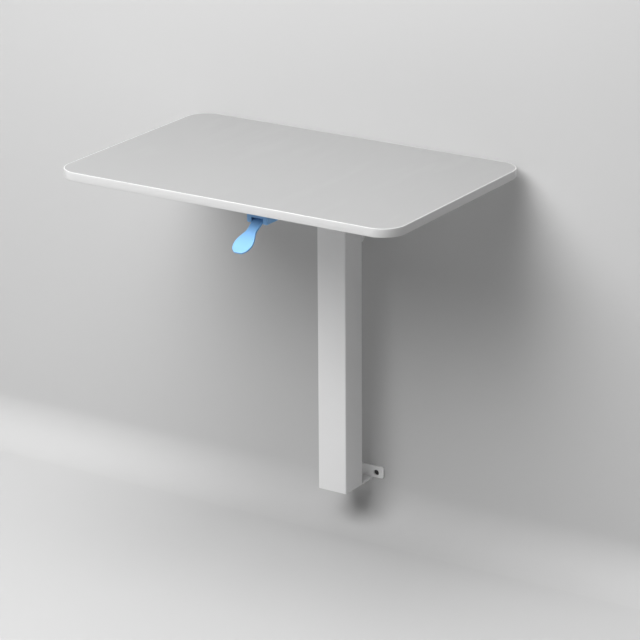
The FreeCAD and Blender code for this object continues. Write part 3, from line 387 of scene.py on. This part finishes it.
def grow(tree, name, sizes, body, paint, standsFor=(), points=None, sharpDegrees=34):
    # Runs a shape tree on a piece: its inputs go in by identifier before the first evaluation.
    piece = addPiece(name, points or bpy.data.meshes.new(name))
    modifier = piece.modifiers.new("shape", "NODES")
    modifier.node_group = tree
    for item in tree.interface.items_tree:
        if item.in_out == "INPUT" and item.name in sizes:
            modifier[item.identifier] = sizes[item.name]
        if item.name == "Finish":
            modifier[item.identifier] = paints[paint]
    bake(piece, sharpDegrees)
    settle(piece, body, standsFor)
    return piece


def roundedRing(graph, width, depth, corner, steps):
    outline = graph.add("GeometryNodeCurvePrimitiveQuadrilateral", {"mode": "RECTANGLE"},
                        {"Width": width, "Height": depth})
    return graph.add("GeometryNodeFilletCurve", {"mode": "POLY"},
                     {"Curve": outline, "Radius": corner, "Count": steps})


def frameTree():
    # A wall of even thickness round a rounded rectangle: tubes, bands and collars.
    graph, start = newTree("wallRound", {
        "Width": 0.07, "Depth": 0.067, "Corner": 0.003, "Thickness": 0.003, "Height": 0.1,
        "Outer rim": 0.0005, "Inner rim": 0.0003, "Centre Y": 0.0, "Bottom": 0.0, "Steps": 10})
    thickness = start.out("Thickness")
    height = start.out("Height")
    path = roundedRing(graph, start.out("Width") - thickness, start.out("Depth") - thickness,
                       start.out("Corner") - thickness / 2, start.out("Steps"))
    path = graph.add("GeometryNodeSetCurveNormal", {"mode": "Z_UP"}, {"Curve": path})
    section = graph.add("GeometryNodeCurvePrimitiveQuadrilateral", {"mode": "RECTANGLE"},
                        {"Width": thickness, "Height": height})
    side = graph.add("ShaderNodeSeparateXYZ", {}, {0: graph.add("GeometryNodeInputPosition")})
    outside = side.out("X").calc("GREATER_THAN", 0.0)
    rim = outside * start.out("Outer rim") + (1 - outside) * start.out("Inner rim")
    section = graph.add("GeometryNodeFilletCurve", {"mode": "POLY"},
                        {"Curve": section, "Radius": rim, "Count": 4})
    wall = graph.add("GeometryNodeCurveToMesh", {}, {"Curve": path, "Profile Curve": section})
    lift = graph.add("ShaderNodeCombineXYZ", {},
                     {"Y": start.out("Centre Y"), "Z": start.out("Bottom") + height / 2})
    shape = graph.add("GeometryNodeTransform", {}, {"Geometry": wall, "Translation": lift})
    return closeTree(graph, start, shape)


def sheetTree():
    # A flat sheet with rounded corners: board and laminates.
    graph, start = newTree("flatSheet", {
        "Width": 0.8, "Depth": 0.52, "Corner": 0.05, "Height": 0.001, "Centre Y": 0.0,
        "Bottom": 0.0, "Steps": 24})
    ring = roundedRing(graph, start.out("Width"), start.out("Depth"), start.out("Corner"),
                       start.out("Steps"))
    floor = graph.add("GeometryNodeFillCurve", {"mode": "NGONS"}, {"Curve": ring})
    rise = graph.add("ShaderNodeCombineXYZ", {}, {"Z": start.out("Height")})
    raised = graph.add("GeometryNodeExtrudeMesh", {"mode": "FACES"},
                       {"Mesh": floor, "Offset": rise, "Offset Scale": 1.0, "Individual": False})
    under = graph.add("GeometryNodeFlipFaces", {}, {0: floor})
    both = graph.add("GeometryNodeJoinGeometry", {}, {0: [raised, under]})
    place = graph.add("ShaderNodeCombineXYZ", {},
                      {"Y": start.out("Centre Y"), "Z": start.out("Bottom")})
    shape = graph.add("GeometryNodeTransform", {}, {"Geometry": both, "Translation": place})
    return closeTree(graph, start, shape)


def turned(graph, radius, height, bulge, rings, around):
    # A closed round head on its flat seat: rim at the seat, domed top; a higher bulge is squarer.
    grid = graph.add("GeometryNodeMeshGrid", {}, {"Size X": 1.0, "Size Y": 1.0,
                     "Vertices X": rings, "Vertices Y": around})
    at = graph.add("ShaderNodeSeparateXYZ", {}, {0: graph.add("GeometryNodeInputPosition")})
    along = (at.out("X") + 0.5) * 1.25
    turn = (at.out("Y") + 0.5) * (2 * math.pi)
    arc = along.calc("MINIMUM", 1.0) * (math.pi / 2)
    back = 1 - (along - 1).calc("MAXIMUM", 0.0) * 4
    reach = arc.calc("SINE") ** (2 / bulge) * back * radius
    rise = arc.calc("COSINE").calc("MAXIMUM", 0.0) ** (2 / bulge) * height
    spot = graph.add("ShaderNodeCombineXYZ", {}, {
        "X": reach * turn.calc("COSINE"), "Y": reach * turn.calc("SINE"), "Z": rise})
    skin = graph.add("GeometryNodeSetPosition", {}, {"Geometry": grid, "Position": spot})
    return graph.add("GeometryNodeMergeByDistance", {}, {"Geometry": skin, "Distance": 2e-6})


def cylinder(graph, sides, radius, low, depth):
    body = graph.add("GeometryNodeMeshCylinder", {"fill_type": "NGON"},
                     {"Vertices": sides, "Radius": radius, "Depth": depth})
    lift = graph.add("ShaderNodeCombineXYZ", {}, {"Z": low + depth / 2})
    return graph.add("GeometryNodeTransform", {}, {"Geometry": body, "Translation": lift})


def scatter(graph, start, fixing):
    # Sets the fixing on every point, its Z along the point's axis and its turn at random.
    axis = graph.add("GeometryNodeInputNamedAttribute", {"data_type": "FLOAT_VECTOR"},
                     {"Name": "axis"})
    aim = graph.add("FunctionNodeAlignRotationToVector", {"axis": "Z"}, {"Vector": axis})
    angle = graph.add("FunctionNodeRandomValue", {"data_type": "FLOAT"},
                      {2: 0.0, 3: 2 * math.pi, "Seed": start.out("Seed")}, 1)
    spin = graph.add("FunctionNodeAxisAngleToRotation", {}, {"Axis": (0, 0, 1), "Angle": angle})
    turn = graph.add("FunctionNodeRotateRotation", {"rotation_space": "LOCAL"}, {0: aim, 1: spin})
    points = graph.add("GeometryNodeMeshToPoints", {"mode": "VERTICES"},
                       {"Mesh": start.out("Geometry")})
    return graph.add("GeometryNodeInstanceOnPoints", {},
                     {"Points": points, "Instance": fixing, "Rotation": turn})


def crossRecess(graph, width, depth, top):
    # Two crossed tapered slots, sunk from the top of a head.
    slots = []
    for long, short in ((3.4, 0.8), (0.8, 3.4)):
        size = graph.add("ShaderNodeCombineXYZ", {},
                         {"X": width * long, "Y": width * short, "Z": depth * 2})
        slot = graph.add("GeometryNodeMeshCube", {}, {"Size": size})
        lift = graph.add("ShaderNodeCombineXYZ", {}, {"Z": top})
        slots.append(graph.add("GeometryNodeTransform", {}, {"Geometry": slot, "Translation": lift}))
    return slots


def panScrewTree():
    # Pan-head screw: the seat is the point, the head stands along +Z and the shank goes down.
    graph, start = newTree("panScrew", {"Head radius": 0.004, "Head height": 0.0025,
                           "Shank radius": 0.002, "Reach": 0.014, "Recess": 0.0011, "Seed": 3})
    head = turned(graph, start.out("Head radius"), start.out("Head height"), 2.7, 12, 33)
    slots = crossRecess(graph, start.out("Recess"), start.out("Head height") * 0.62,
                        start.out("Head height"))
    head = graph.add("GeometryNodeMeshBoolean", {"operation": "DIFFERENCE", "solver": "EXACT"},
                     {"Mesh 1": head, "Mesh 2": slots, "Self Intersection": True})
    shank = cylinder(graph, 20, start.out("Shank radius"), start.out("Reach") * -1,
                     start.out("Reach"))
    fixing = graph.add("GeometryNodeJoinGeometry", {}, {0: [head, shank]})
    return closeTree(graph, start, scatter(graph, start, fixing))


def flushScrewTree():
    # Countersunk screw: the face of its head is at the point, its shank goes down.
    graph, start = newTree("flushScrew", {"Head radius": 0.005, "Head height": 0.0025,
                           "Shank radius": 0.0025, "Reach": 0.018, "Proud": 0.00012,
                           "Recess": 0.0012, "Seed": 5})
    cone = graph.add("GeometryNodeMeshCone", {"fill_type": "NGON"}, {
        "Vertices": 40, "Radius Top": start.out("Head radius"),
        "Radius Bottom": start.out("Shank radius"), "Depth": start.out("Head height")})
    sink = start.out("Proud") - start.out("Head height")
    lift = graph.add("ShaderNodeCombineXYZ", {}, {"Z": sink})
    cone = graph.add("GeometryNodeTransform", {}, {"Geometry": cone, "Translation": lift})
    slots = crossRecess(graph, start.out("Recess"), start.out("Head height") * 0.7,
                        start.out("Proud"))
    head = graph.add("GeometryNodeMeshBoolean", {"operation": "DIFFERENCE", "solver": "EXACT"},
                     {"Mesh 1": cone, "Mesh 2": slots, "Self Intersection": True})
    shank = cylinder(graph, 20, start.out("Shank radius"), start.out("Reach") * -1,
                     start.out("Reach") - start.out("Head height"))
    fixing = graph.add("GeometryNodeJoinGeometry", {}, {0: [head, shank]})
    return closeTree(graph, start, scatter(graph, start, fixing))


def hexTree():
    # Hex head with turned-off corners over a shank; a bore larger than nothing makes it a nut.
    graph, start = newTree("hexFixing", {"Flats": 0.01, "Head height": 0.004,
                           "Shank radius": 0.003, "Reach": 0.01, "Bore": 0.0, "Seed": 7})
    corner = start.out("Flats") / math.sqrt(3)
    prism = cylinder(graph, 6, corner, 0.0, start.out("Head height"))
    turning = turned(graph, corner * 1.02, start.out("Head height") * 1.0, 7.0, 24, 49)
    head = graph.add("GeometryNodeMeshBoolean", {"operation": "INTERSECT", "solver": "EXACT"},
                     {"Mesh 2": [prism, turning]})
    drill = cylinder(graph, 32, start.out("Bore").calc("MAXIMUM", 1e-4),
                     start.out("Head height") * -0.5, start.out("Head height") * 2)
    bored = graph.add("GeometryNodeMeshBoolean", {"operation": "DIFFERENCE", "solver": "EXACT"},
                      {"Mesh 1": head, "Mesh 2": [drill]})
    isNut = start.out("Bore").calc("GREATER_THAN", 1e-5)
    shank = cylinder(graph, 24, start.out("Shank radius"), start.out("Reach") * -1,
                     start.out("Reach"))
    boltShape = graph.add("GeometryNodeJoinGeometry", {}, {0: [head, shank]})
    fixing = graph.add("GeometryNodeSwitch", {"input_type": "GEOMETRY"},
                       {"Switch": isNut, "False": boltShape, "True": bored})
    return closeTree(graph, start, scatter(graph, start, fixing))


def coilTree():
    # Helical spring with a straight leg off each end; its axis is Z, its middle the origin.
    graph, start = newTree("coilSpring", {"Radius": 0.0052, "Wire": 0.0006, "Pitch": 0.0015,
                           "Turns": 4.0, "Leg": 0.011, "Steps": 40})
    spiral = graph.add("GeometryNodeCurveSpiral", {}, {
        "Resolution": start.out("Steps"), "Rotations": start.out("Turns"),
        "Start Radius": start.out("Radius"), "End Radius": start.out("Radius"),
        "Height": start.out("Pitch") * start.out("Turns")})
    section = graph.add("GeometryNodeCurvePrimitiveCircle", {"mode": "RADIUS"},
                        {"Resolution": 12, "Radius": start.out("Wire")})
    parts = [graph.add("GeometryNodeCurveToMesh", {}, {"Curve": spiral, "Profile Curve": section,
                                                       "Fill Caps": True})]
    for sign, height in ((-1, 0.0), (1, start.out("Pitch") * start.out("Turns"))):
        first = graph.add("ShaderNodeCombineXYZ", {}, {"X": start.out("Radius"), "Z": height})
        last = graph.add("ShaderNodeCombineXYZ", {}, {
            "X": start.out("Radius"), "Y": start.out("Leg") * sign, "Z": height})
        line = graph.add("GeometryNodeCurvePrimitiveLine", {}, {"Start": first, "End": last})
        parts.append(graph.add("GeometryNodeCurveToMesh", {}, {
            "Curve": line, "Profile Curve": section, "Fill Caps": True}))
    shape = graph.add("GeometryNodeJoinGeometry", {}, {0: parts})
    return closeTree(graph, start, shape)


def pointsAt(name, places):
    # A mesh of bare points, each with the direction its fixing's head faces.
    mesh = bpy.data.meshes.new(name)
    mesh.from_pydata([place for place, axis in places], [], [])
    faces = mesh.attributes.new("axis", "FLOAT_VECTOR", "POINT")
    for i, (place, axis) in enumerate(places):
        faces.data[i].vector = axis
    return mesh


def softened(name, body, paint, width, angle=32, segments=2, sharpDegrees=40):
    # A piece on a CAD node's own surface, its edges broken as folding, moulding or filing does.
    mesh = nodes[name].data.copy()
    shell = bmesh.new()
    shell.from_mesh(mesh)
    bmesh.ops.remove_doubles(shell, verts=shell.verts, dist=2e-6)
    bmesh.ops.dissolve_limit(shell, angle_limit=math.radians(0.6), verts=shell.verts,
                             edges=shell.edges)
    shell.to_mesh(mesh)
    shell.free()
    mesh.shade_smooth()
    piece = addPiece(name.split("_")[0] + "".join(w.title() for w in name.split("_")[1:]),
                     mesh, paint)
    bevel = piece.modifiers.new("edges", "BEVEL")
    bevel.width = width
    bevel.segments = segments
    bevel.limit_method = "ANGLE"
    bevel.angle_limit = math.radians(angle)
    bevel.miter_outer = "MITER_ARC"
    bevel.use_clamp_overlap = True
    weigh = piece.modifiers.new("flats", "WEIGHTED_NORMAL")
    weigh.keep_sharp = True
    depsgraph = bpy.context.evaluated_depsgraph_get()
    made = bpy.data.meshes.new_from_object(piece.evaluated_get(depsgraph))
    piece.modifiers.clear()
    piece.data = made
    settle(piece, body, (name,))
    return piece


# The top
top = {"width": 0.8, "depth": 0.52, "corner": 0.050, "thickness": 0.018, "height": 0.748,
       "centreY": -0.264, "laminate": 0.0008, "band": 0.002, "arris": 0.0011}
wallRound = frameTree()
flatSheet = sheetTree()


def makeTop():
    under = top["height"] - top["thickness"]
    inside = {"Width": top["width"] - 2 * top["band"], "Depth": top["depth"] - 2 * top["band"],
              "Corner": top["corner"] - top["band"], "Centre Y": top["centreY"], "Steps": 24}
    core = top["thickness"] - 2 * top["laminate"]
    grow(wallRound, "edgeBand", {
        "Width": top["width"], "Depth": top["depth"], "Corner": top["corner"],
        "Thickness": top["band"], "Height": top["thickness"], "Outer rim": top["arris"],
        "Inner rim": 0.05 * mm, "Centre Y": top["centreY"], "Bottom": under, "Steps": 24},
        "lifting_table", "edgeBand", ("edge_band",))
    grow(flatSheet, "topLaminate", dict(inside, Height=top["laminate"],
         Bottom=top["height"] - top["laminate"]), "lifting_table", "greyLaminate",
         ("top_laminate",))
    grow(flatSheet, "boardCore", dict(inside, Height=core, Bottom=under + top["laminate"]),
         "lifting_table", "particleBoard", ("board_core",))
    grow(flatSheet, "bottomLaminate", dict(inside, Height=top["laminate"], Bottom=under),
         "lifting_table", "backingLaminate", ("bottom_laminate",))
    print("top made")


makeTop()

# The columns
columns = {
    "outer": {"Width": 0.07, "Depth": 0.067, "Corner": 0.003, "Thickness": 0.003,
              "Height": 0.606, "Outer rim": 0.0006, "Inner rim": 0.0004, "Centre Y": -0.076,
              "Bottom": -0.016, "Steps": 8},
    "inner": {"Width": 0.055, "Depth": 0.052, "Corner": 0.003, "Thickness": 0.0025,
              "Height": 0.516, "Outer rim": 0.0004, "Inner rim": 0.0003, "Centre Y": -0.076,
              "Bottom": 0.168, "Steps": 8},
}
grow(wallRound, "outerColumn", columns["outer"], "wall_column", "powderCoat", ("outer_column",))
grow(wallRound, "innerColumn", columns["inner"], "lifting_table", "powderCoat", ("inner_column",))
print("columns made")

# Folded, pressed and moulded pieces with broken edges
pressed = {
    "lower_wall_bracket": ("wall_column", "powderCoat", 0.5),
    "upper_wall_bracket": ("wall_column", "powderCoat", 0.5),
    "upper_column_block": ("wall_column", "zincSteel", 0.4),
    "base_plug": ("wall_column", "blackPlastic", 0.4),
    "guide_bush": ("wall_column", "greyPlastic", 0.4),
    "glide_shoe": ("lifting_table", "greyPlastic", 0.3),
    "head_plate": ("lifting_table", "zincSteel", 0.5),
    "crossbeam": ("lifting_table", "powderCoat", 0.4),
    "beam_end_caps": ("lifting_table", "blackPlastic", 0.5),
    "left_arm": ("lifting_table", "powderCoat", 0.4),
    "right_arm": ("lifting_table", "powderCoat", 0.4),
    "arm_end_caps": ("lifting_table", "blackPlastic", 0.5),
    "release_head": ("lifting_table", "castAluminium", 0.35),
    "cable_clips": ("lifting_table", "blackPlastic", 0.35),
    "lever_housing": ("lifting_table", "bluePlastic", 0.3),
    "release_rocker": ("rocker", "zincSteel", 0.3),
    "paddle_lever": ("paddle", "bluePlastic", 0.25),
}
for partName, (partBody, partPaint, partEdge) in pressed.items():
    softened(partName, partBody, partPaint, partEdge * mm)
print("pressed and moulded pieces made", len(pressed))

# Screws, bolts and nuts
fixings = {
    "boardRows": ((-0.170, -0.060, 0.060, 0.170), (-0.192, -0.085, 0.085, 0.192)),
    "beamLips": (-0.0385, -0.1135), "armRows": (-0.150, -0.400), "armOffset": 0.150,
    "armLip": 0.026, "boardUnder": 0.730, "beamWall": 0.0025, "armWall": 0.002,
    "bossRows": (-0.424, -0.444), "bossOffset": 0.0165, "housingX": 0.061, "bossSeat": 0.710,
    "clipReach": 0.011, "clipSeat": 0.727, "baseSpread": (0.022, 0.020), "columnY": -0.076,
    "columnBottom": -0.016, "bushSpread": 0.020, "bushZ": 0.578, "columnRear": -0.0425,
    "armBoltOffset": 0.027, "armBoltLevels": (0.700, 0.716), "armBoltSeat": -0.109,
    "armNutSeat": -0.1035, "headSpread": (0.042, 0.016), "headSeat": 0.6925,
    "sideX": 0.035, "sideY": -0.0365, "sideLevels": (0.556, 0.572),
}
cable = {
    "route": ((61, -410, 705), (61, -372, 705), (57, -326, 712), (46, -274, 720), (29, -224, 722),
              (10, -178, 721), (0, -137, 718), (0, -96, 718)),
    "radius": 0.0025, "clippedRuns": (2, 4),
}


def runMiddle(i):
    a = Vector(cable["route"][i])
    b = Vector(cable["route"][i + 1])
    return (a + b) * 0.5 * mm


def makeFixings():
    f = fixings
    down = (0, 0, -1)
    pan = panScrewTree()
    flush = flushScrewTree()
    hexes = hexTree()
    seat = f["boardUnder"] - f["beamWall"]
    places = [((x, f["beamLips"][k], seat), down) for k in (0, 1) for x in f["boardRows"][k]]
    seat = f["boardUnder"] - f["armWall"]
    for side in (-1, 1):
        middle = side * f["armOffset"]
        places += [((middle + s * f["armLip"], y, seat), down) for y in f["armRows"]
                   for s in (-1, 1)]
    grow(pan, "boardScrews", {"Reach": 0.014}, "lifting_table", "zincSteel", ("board_screws",),
         pointsAt("boardScrews", places))
    places = [((f["housingX"] + s * f["bossOffset"], y, f["bossSeat"]), down)
              for y in f["bossRows"] for s in (-1, 1)]
    grow(pan, "housingScrews", {"Head radius": 0.0035, "Head height": 0.0022, "Reach": 0.032,
                                "Recess": 0.001}, "lifting_table", "zincSteel",
         ("housing_screws",), pointsAt("housingScrews", places))
    places = []
    for i in cable["clippedRuns"]:
        middle = runMiddle(i)
        places.append(((middle.x + f["clipReach"], middle.y, f["clipSeat"]), down))
    grow(pan, "clipScrews", {"Head radius": 0.0032, "Head height": 0.002,
                             "Shank radius": 0.00175, "Reach": 0.015, "Recess": 0.0009},
         "lifting_table", "zincSteel", ("clip_screws",), pointsAt("clipScrews", places))
    places = [((sx * f["baseSpread"][0], f["columnY"] + sy * f["baseSpread"][1],
                f["columnBottom"]), down) for sx in (-1, 1) for sy in (-1, 1)]
    grow(flush, "baseScrews", {"Reach": 0.019}, "wall_column", "zincSteel", ("base_screws",),
         pointsAt("baseScrews", places))
    places = [((s * f["bushSpread"], f["columnRear"], f["bushZ"]), (0, 1, 0)) for s in (-1, 1)]
    grow(flush, "bushScrews", {"Head radius": 0.004, "Head height": 0.002,
                               "Shank radius": 0.002, "Reach": 0.0065, "Recess": 0.001},
         "wall_column", "zincSteel", ("bush_screws",), pointsAt("bushScrews", places))
    across = [side * f["armOffset"] + s * f["armBoltOffset"] for side in (-1, 1) for s in (-1, 1)]
    places = [((x, f["armBoltSeat"], z), (0, -1, 0)) for x in across for z in f["armBoltLevels"]]
    grow(hexes, "armBolts", {"Reach": 0.0115}, "lifting_table", "zincSteel", ("arm_bolts",),
         pointsAt("armBolts", places), 24)
    places = [((x, f["armNutSeat"], z), (0, 1, 0)) for x in across for z in f["armBoltLevels"]]
    grow(hexes, "armNuts", {"Head height": 0.005, "Bore": 0.003}, "lifting_table", "zincSteel",
         ("arm_nuts",), pointsAt("armNuts", places), 24)
    places = [((sx * f["headSpread"][0], f["columnY"] + sy * f["headSpread"][1], f["headSeat"]),
               (0, 0, 1)) for sx in (-1, 1) for sy in (-1, 1)]
    grow(hexes, "headBolts", {"Reach": 0.0085}, "lifting_table", "zincSteel", ("head_bolts",),
         pointsAt("headBolts", places), 24)
    places = [((s * f["sideX"], f["sideY"], z), (s, 0, 0)) for s in (-1, 1)
              for z in f["sideLevels"]]
    grow(hexes, "upperBracketBolts", {"Reach": 0.014}, "wall_column", "zincSteel",
         ("upper_bracket_bolts",), pointsAt("upperBracketBolts", places), 24)
    print("screws, bolts and nuts made")


makeFixings()


# Release cable: its sheath lies on one smooth curve from the lever housing to the release head
def makeCable():
    curve = bpy.data.curves.new("cableSheath", "CURVE")
    curve.dimensions = "3D"
    curve.bevel_depth = cable["radius"]
    curve.bevel_resolution = 5
    curve.use_fill_caps = True
    curve.resolution_u = 16
    spline = curve.splines.new("NURBS")
    spline.points.add(len(cable["route"]) - 1)
    for point, place in zip(spline.points, cable["route"]):
        point.co = (place[0] * mm, place[1] * mm, place[2] * mm, 1)
    spline.order_u = 3
    spline.use_endpoint_u = True
    holder = bpy.data.objects.new("cablePath", curve)
    bpy.context.scene.collection.objects.link(holder)
    depsgraph = bpy.context.evaluated_depsgraph_get()
    mesh = bpy.data.meshes.new_from_object(holder.evaluated_get(depsgraph))
    bpy.data.objects.remove(holder)
    sheath = addPiece("cableSheath", mesh, "blackPlastic")
    bake(sheath, 40)
    settle(sheath, "lifting_table", ("cable_sheath",))
    print("cable made")


makeCable()

# Lever's return spring
springSpec = {"Radius": 0.0052, "Wire": 0.0006, "Pitch": 0.0015, "Turns": 4.0, "Leg": 0.011,
              "Steps": 40}
springStart = (0.0746, -0.461, 0.714)


def makeSpring():
    spring = grow(coilTree(), "returnSpring", dict(springSpec), "lifting_table", "springSteel",
                  ("return_spring",))
    turn = Vector((0, 0, 1)).rotation_difference(Vector((1, 0, 0))).to_matrix().to_4x4()
    spring.data.transform(Matrix.Translation(springStart) @ turn)
    print("spring made")


makeSpring()

# Nodes whose own shape is right get their finish only
kept = {
    "spring_strut": "plainSteel", "gas_spring_nut": "zincSteel", "gas_spring_cylinder": "blackPaint",
    "gas_spring_guide": "blackPlastic", "gas_spring_rod": "hardChrome",
    "gas_spring_piston": "machinedAluminium", "rod_nut": "zincSteel", "rubber_buffer": "blackRubber",
    "rocker_pin": "plainSteel", "cable_adjuster": "zincSteel", "adjuster_nut": "zincSteel",
    "cable_wire": "springSteel", "rear_nipple": "castAluminium", "sheath_ferrule": "zincSteel",
    "cable_grommet": "blackRubber", "lever_pivot_pin": "plainSteel", "lever_nipple": "castAluminium",
    "release_pin": "plainSteel",
}
for partName, partPaint in kept.items():
    nodes[partName].data.materials.clear()
    nodes[partName].data.materials.append(paints[partPaint])
print("kept nodes finished", len(kept))

# Room, lights and camera
room = {"wall": 0.5, "floor": 0.49, "holeShade": 0.04, "floorZ": -0.119, "wallY": 0.0006, "reach": 9.0,
        "sweep": 0.1, "ears": ((-0.009, 0.0130), (0.5540, 0.5800)), "earHalf": 0.0625,
        "plugs": ((-0.046, 0.0), (0.046, 0.0), (-0.046, 0.567), (0.046, 0.567)),
        "holeDiscRadius": 0.0071}


def roomPaint(name, value):
    look = Finish(name, Roughness=0.85)
    cloud = look.noise(0.6, 2.0)
    look.color(look.graph.mixColor(cloud, tinted(gray(value), 0.99), tinted(gray(value), 1.01)))
    look.bump(look.noise(0.0015, 2.0), 0.03 * mm)
    clear = look.graph.add("ShaderNodeBsdfTransparent")
    behind = look.graph.add("ShaderNodeNewGeometry", out="Backfacing")
    solid = Wire(look.graph, look.shader.outputs[0])
    shadow = look.graph.add("ShaderNodeLightPath", out="Is Shadow Ray")
    opened = look.graph.math("MAXIMUM", behind, shadow)
    both = look.graph.add("ShaderNodeMixShader", {}, {0: opened, 1: solid, 2: clear})
    output = look.material.node_tree.nodes["Material Output"]
    look.graph.tree.links.new(both.socket, output.inputs["Surface"])
    return look.material


def makeRoom():
    # The floor, a sweep and the wall, seen from the room's side only. The wall is open
    # behind the brackets' faces, which light has to reach, and a small near-black disc behind
    # each hole is painted shade, the dark inside the hole.
    r = room["reach"]
    steps = 16
    profile = [(-r, room["floorZ"])]
    for i in range(steps + 1):
        a = math.pi / 2 * i / steps
        profile.append((room["wallY"] - room["sweep"] * (1 - math.sin(a)),
                        room["floorZ"] + room["sweep"] * (1 - math.cos(a))))
    levels = [z for pair in room["ears"] for z in pair]
    profile += [(room["wallY"], z) for z in levels + [r]]
    across = (-r, -room["earHalf"], room["earHalf"], r)
    points = [(x, y, z) for y, z in profile for x in across]
    opened = [i for i, (y, z) in enumerate(profile) if z in levels[::2]]
    faces = [(4 * i + k, 4 * i + k + 1, 4 * i + k + 5, 4 * i + k + 4)
             for i in range(len(profile) - 1) for k in range(3) if not (k == 1 and i in opened)]
    floorFaces = 3
    for x, z in room["plugs"]:
        first = len(points)
        for i in range(24):
            a = math.pi * i / 12
            points.append((x + room["holeDiscRadius"] * math.cos(a), room["wallY"],
                           z + room["holeDiscRadius"] * math.sin(a)))
        faces.append(tuple(range(first, first + 24)))
    mesh = bpy.data.meshes.new("room")
    mesh.from_pydata(points, [], faces)
    mesh.materials.append(roomPaint("wallPaint", room["wall"]))
    mesh.materials.append(roomPaint("floorPaint", room["floor"]))
    mesh.materials.append(roomPaint("paintedHoleShade", room["holeShade"]))
    for face in mesh.polygons[:floorFaces]:
        face.material_index = 1
    # These discs take the near-black paint: painted shade, the dark inside each hole.
    for face in mesh.polygons[-len(room["plugs"]):]:
        face.material_index = 2
    for face in mesh.polygons:
        face.use_smooth = True
    backdrop = bpy.data.objects.new("room", mesh)
    bpy.context.scene.collection.objects.link(backdrop)


lights = {
    "overhead": {"place": (0.0, -1.6, 3.2), "aim": (0.0, -0.3, 0.3), "size": 3.0, "power": 52},
    "back": {"place": (0.0, -0.9, 3.4), "aim": (0.0, -0.3, 0.3), "size": 2.0, "power": 33},
    "front": {"place": (-0.8, -3.0, 3.4), "aim": (0.0, -0.2, 0.2), "size": 3.0, "power": 132},
    "low": {"place": (-2.6, -1.5, 0.2), "aim": (-0.8, 0.0, -0.1), "size": 1.2, "power": 6},
    "key": {"place": (-1.5, -2.9, 2.9), "aim": (0.0, -0.1, 0.35), "size": 1.6, "power": 15},
    "rear": {"place": (0.0, 2.6, 0.7), "aim": (0.0, -0.1, 0.4), "size": 1.6, "power": 12},
}
cameraSpec = {"aim": (0.1053, -0.3182, 0.4560), "azimuth": 32.67, "elevation": 19.40,
              "roll": -0.38, "distance": 6.084, "lens": 169.12}


def addLight(name, spec):
    data = bpy.data.lights.new(name, "AREA")
    data.shape = "DISK"
    data.size = spec["size"]
    data.energy = spec["power"]
    light = bpy.data.objects.new(name, data)
    light.location = spec["place"]
    aim = Vector(spec["aim"]) - Vector(spec["place"])
    light.rotation_euler = aim.to_track_quat("-Z", "Y").to_euler()
    bpy.context.scene.collection.objects.link(light)


def makeCamera():
    a = math.radians(cameraSpec["azimuth"])
    e = math.radians(cameraSpec["elevation"])
    roll = math.radians(cameraSpec["roll"])
    back = Vector((math.sin(a) * math.cos(e), -math.cos(a) * math.cos(e), math.sin(e)))
    right = Vector((math.cos(a), math.sin(a), 0))
    up = back.cross(right)
    x = right * math.cos(roll) + up * math.sin(roll)
    y = up * math.cos(roll) - right * math.sin(roll)
    data = bpy.data.cameras.new("camera")
    data.lens = cameraSpec["lens"]
    data.sensor_width = 36
    camera = bpy.data.objects.new("camera", data)
    place = Vector(cameraSpec["aim"]) + back * cameraSpec["distance"]
    columnsOf = Matrix((x, y, back)).transposed().to_4x4()
    camera.matrix_world = Matrix.Translation(place) @ columnsOf
    bpy.context.scene.collection.objects.link(camera)
    bpy.context.scene.camera = camera


makeRoom()
for lightName, lightSpec in lights.items():
    addLight(lightName, lightSpec)
world = bpy.data.worlds.new("softLight")
world.use_nodes = True
world.node_tree.nodes["Background"].inputs["Color"].default_value = gray(1.0)
world.node_tree.nodes["Background"].inputs["Strength"].default_value = 0.071
bpy.context.scene.world = world
bpy.context.scene.view_settings.view_transform = "Standard"
makeCamera()
print("room, lights and camera made")
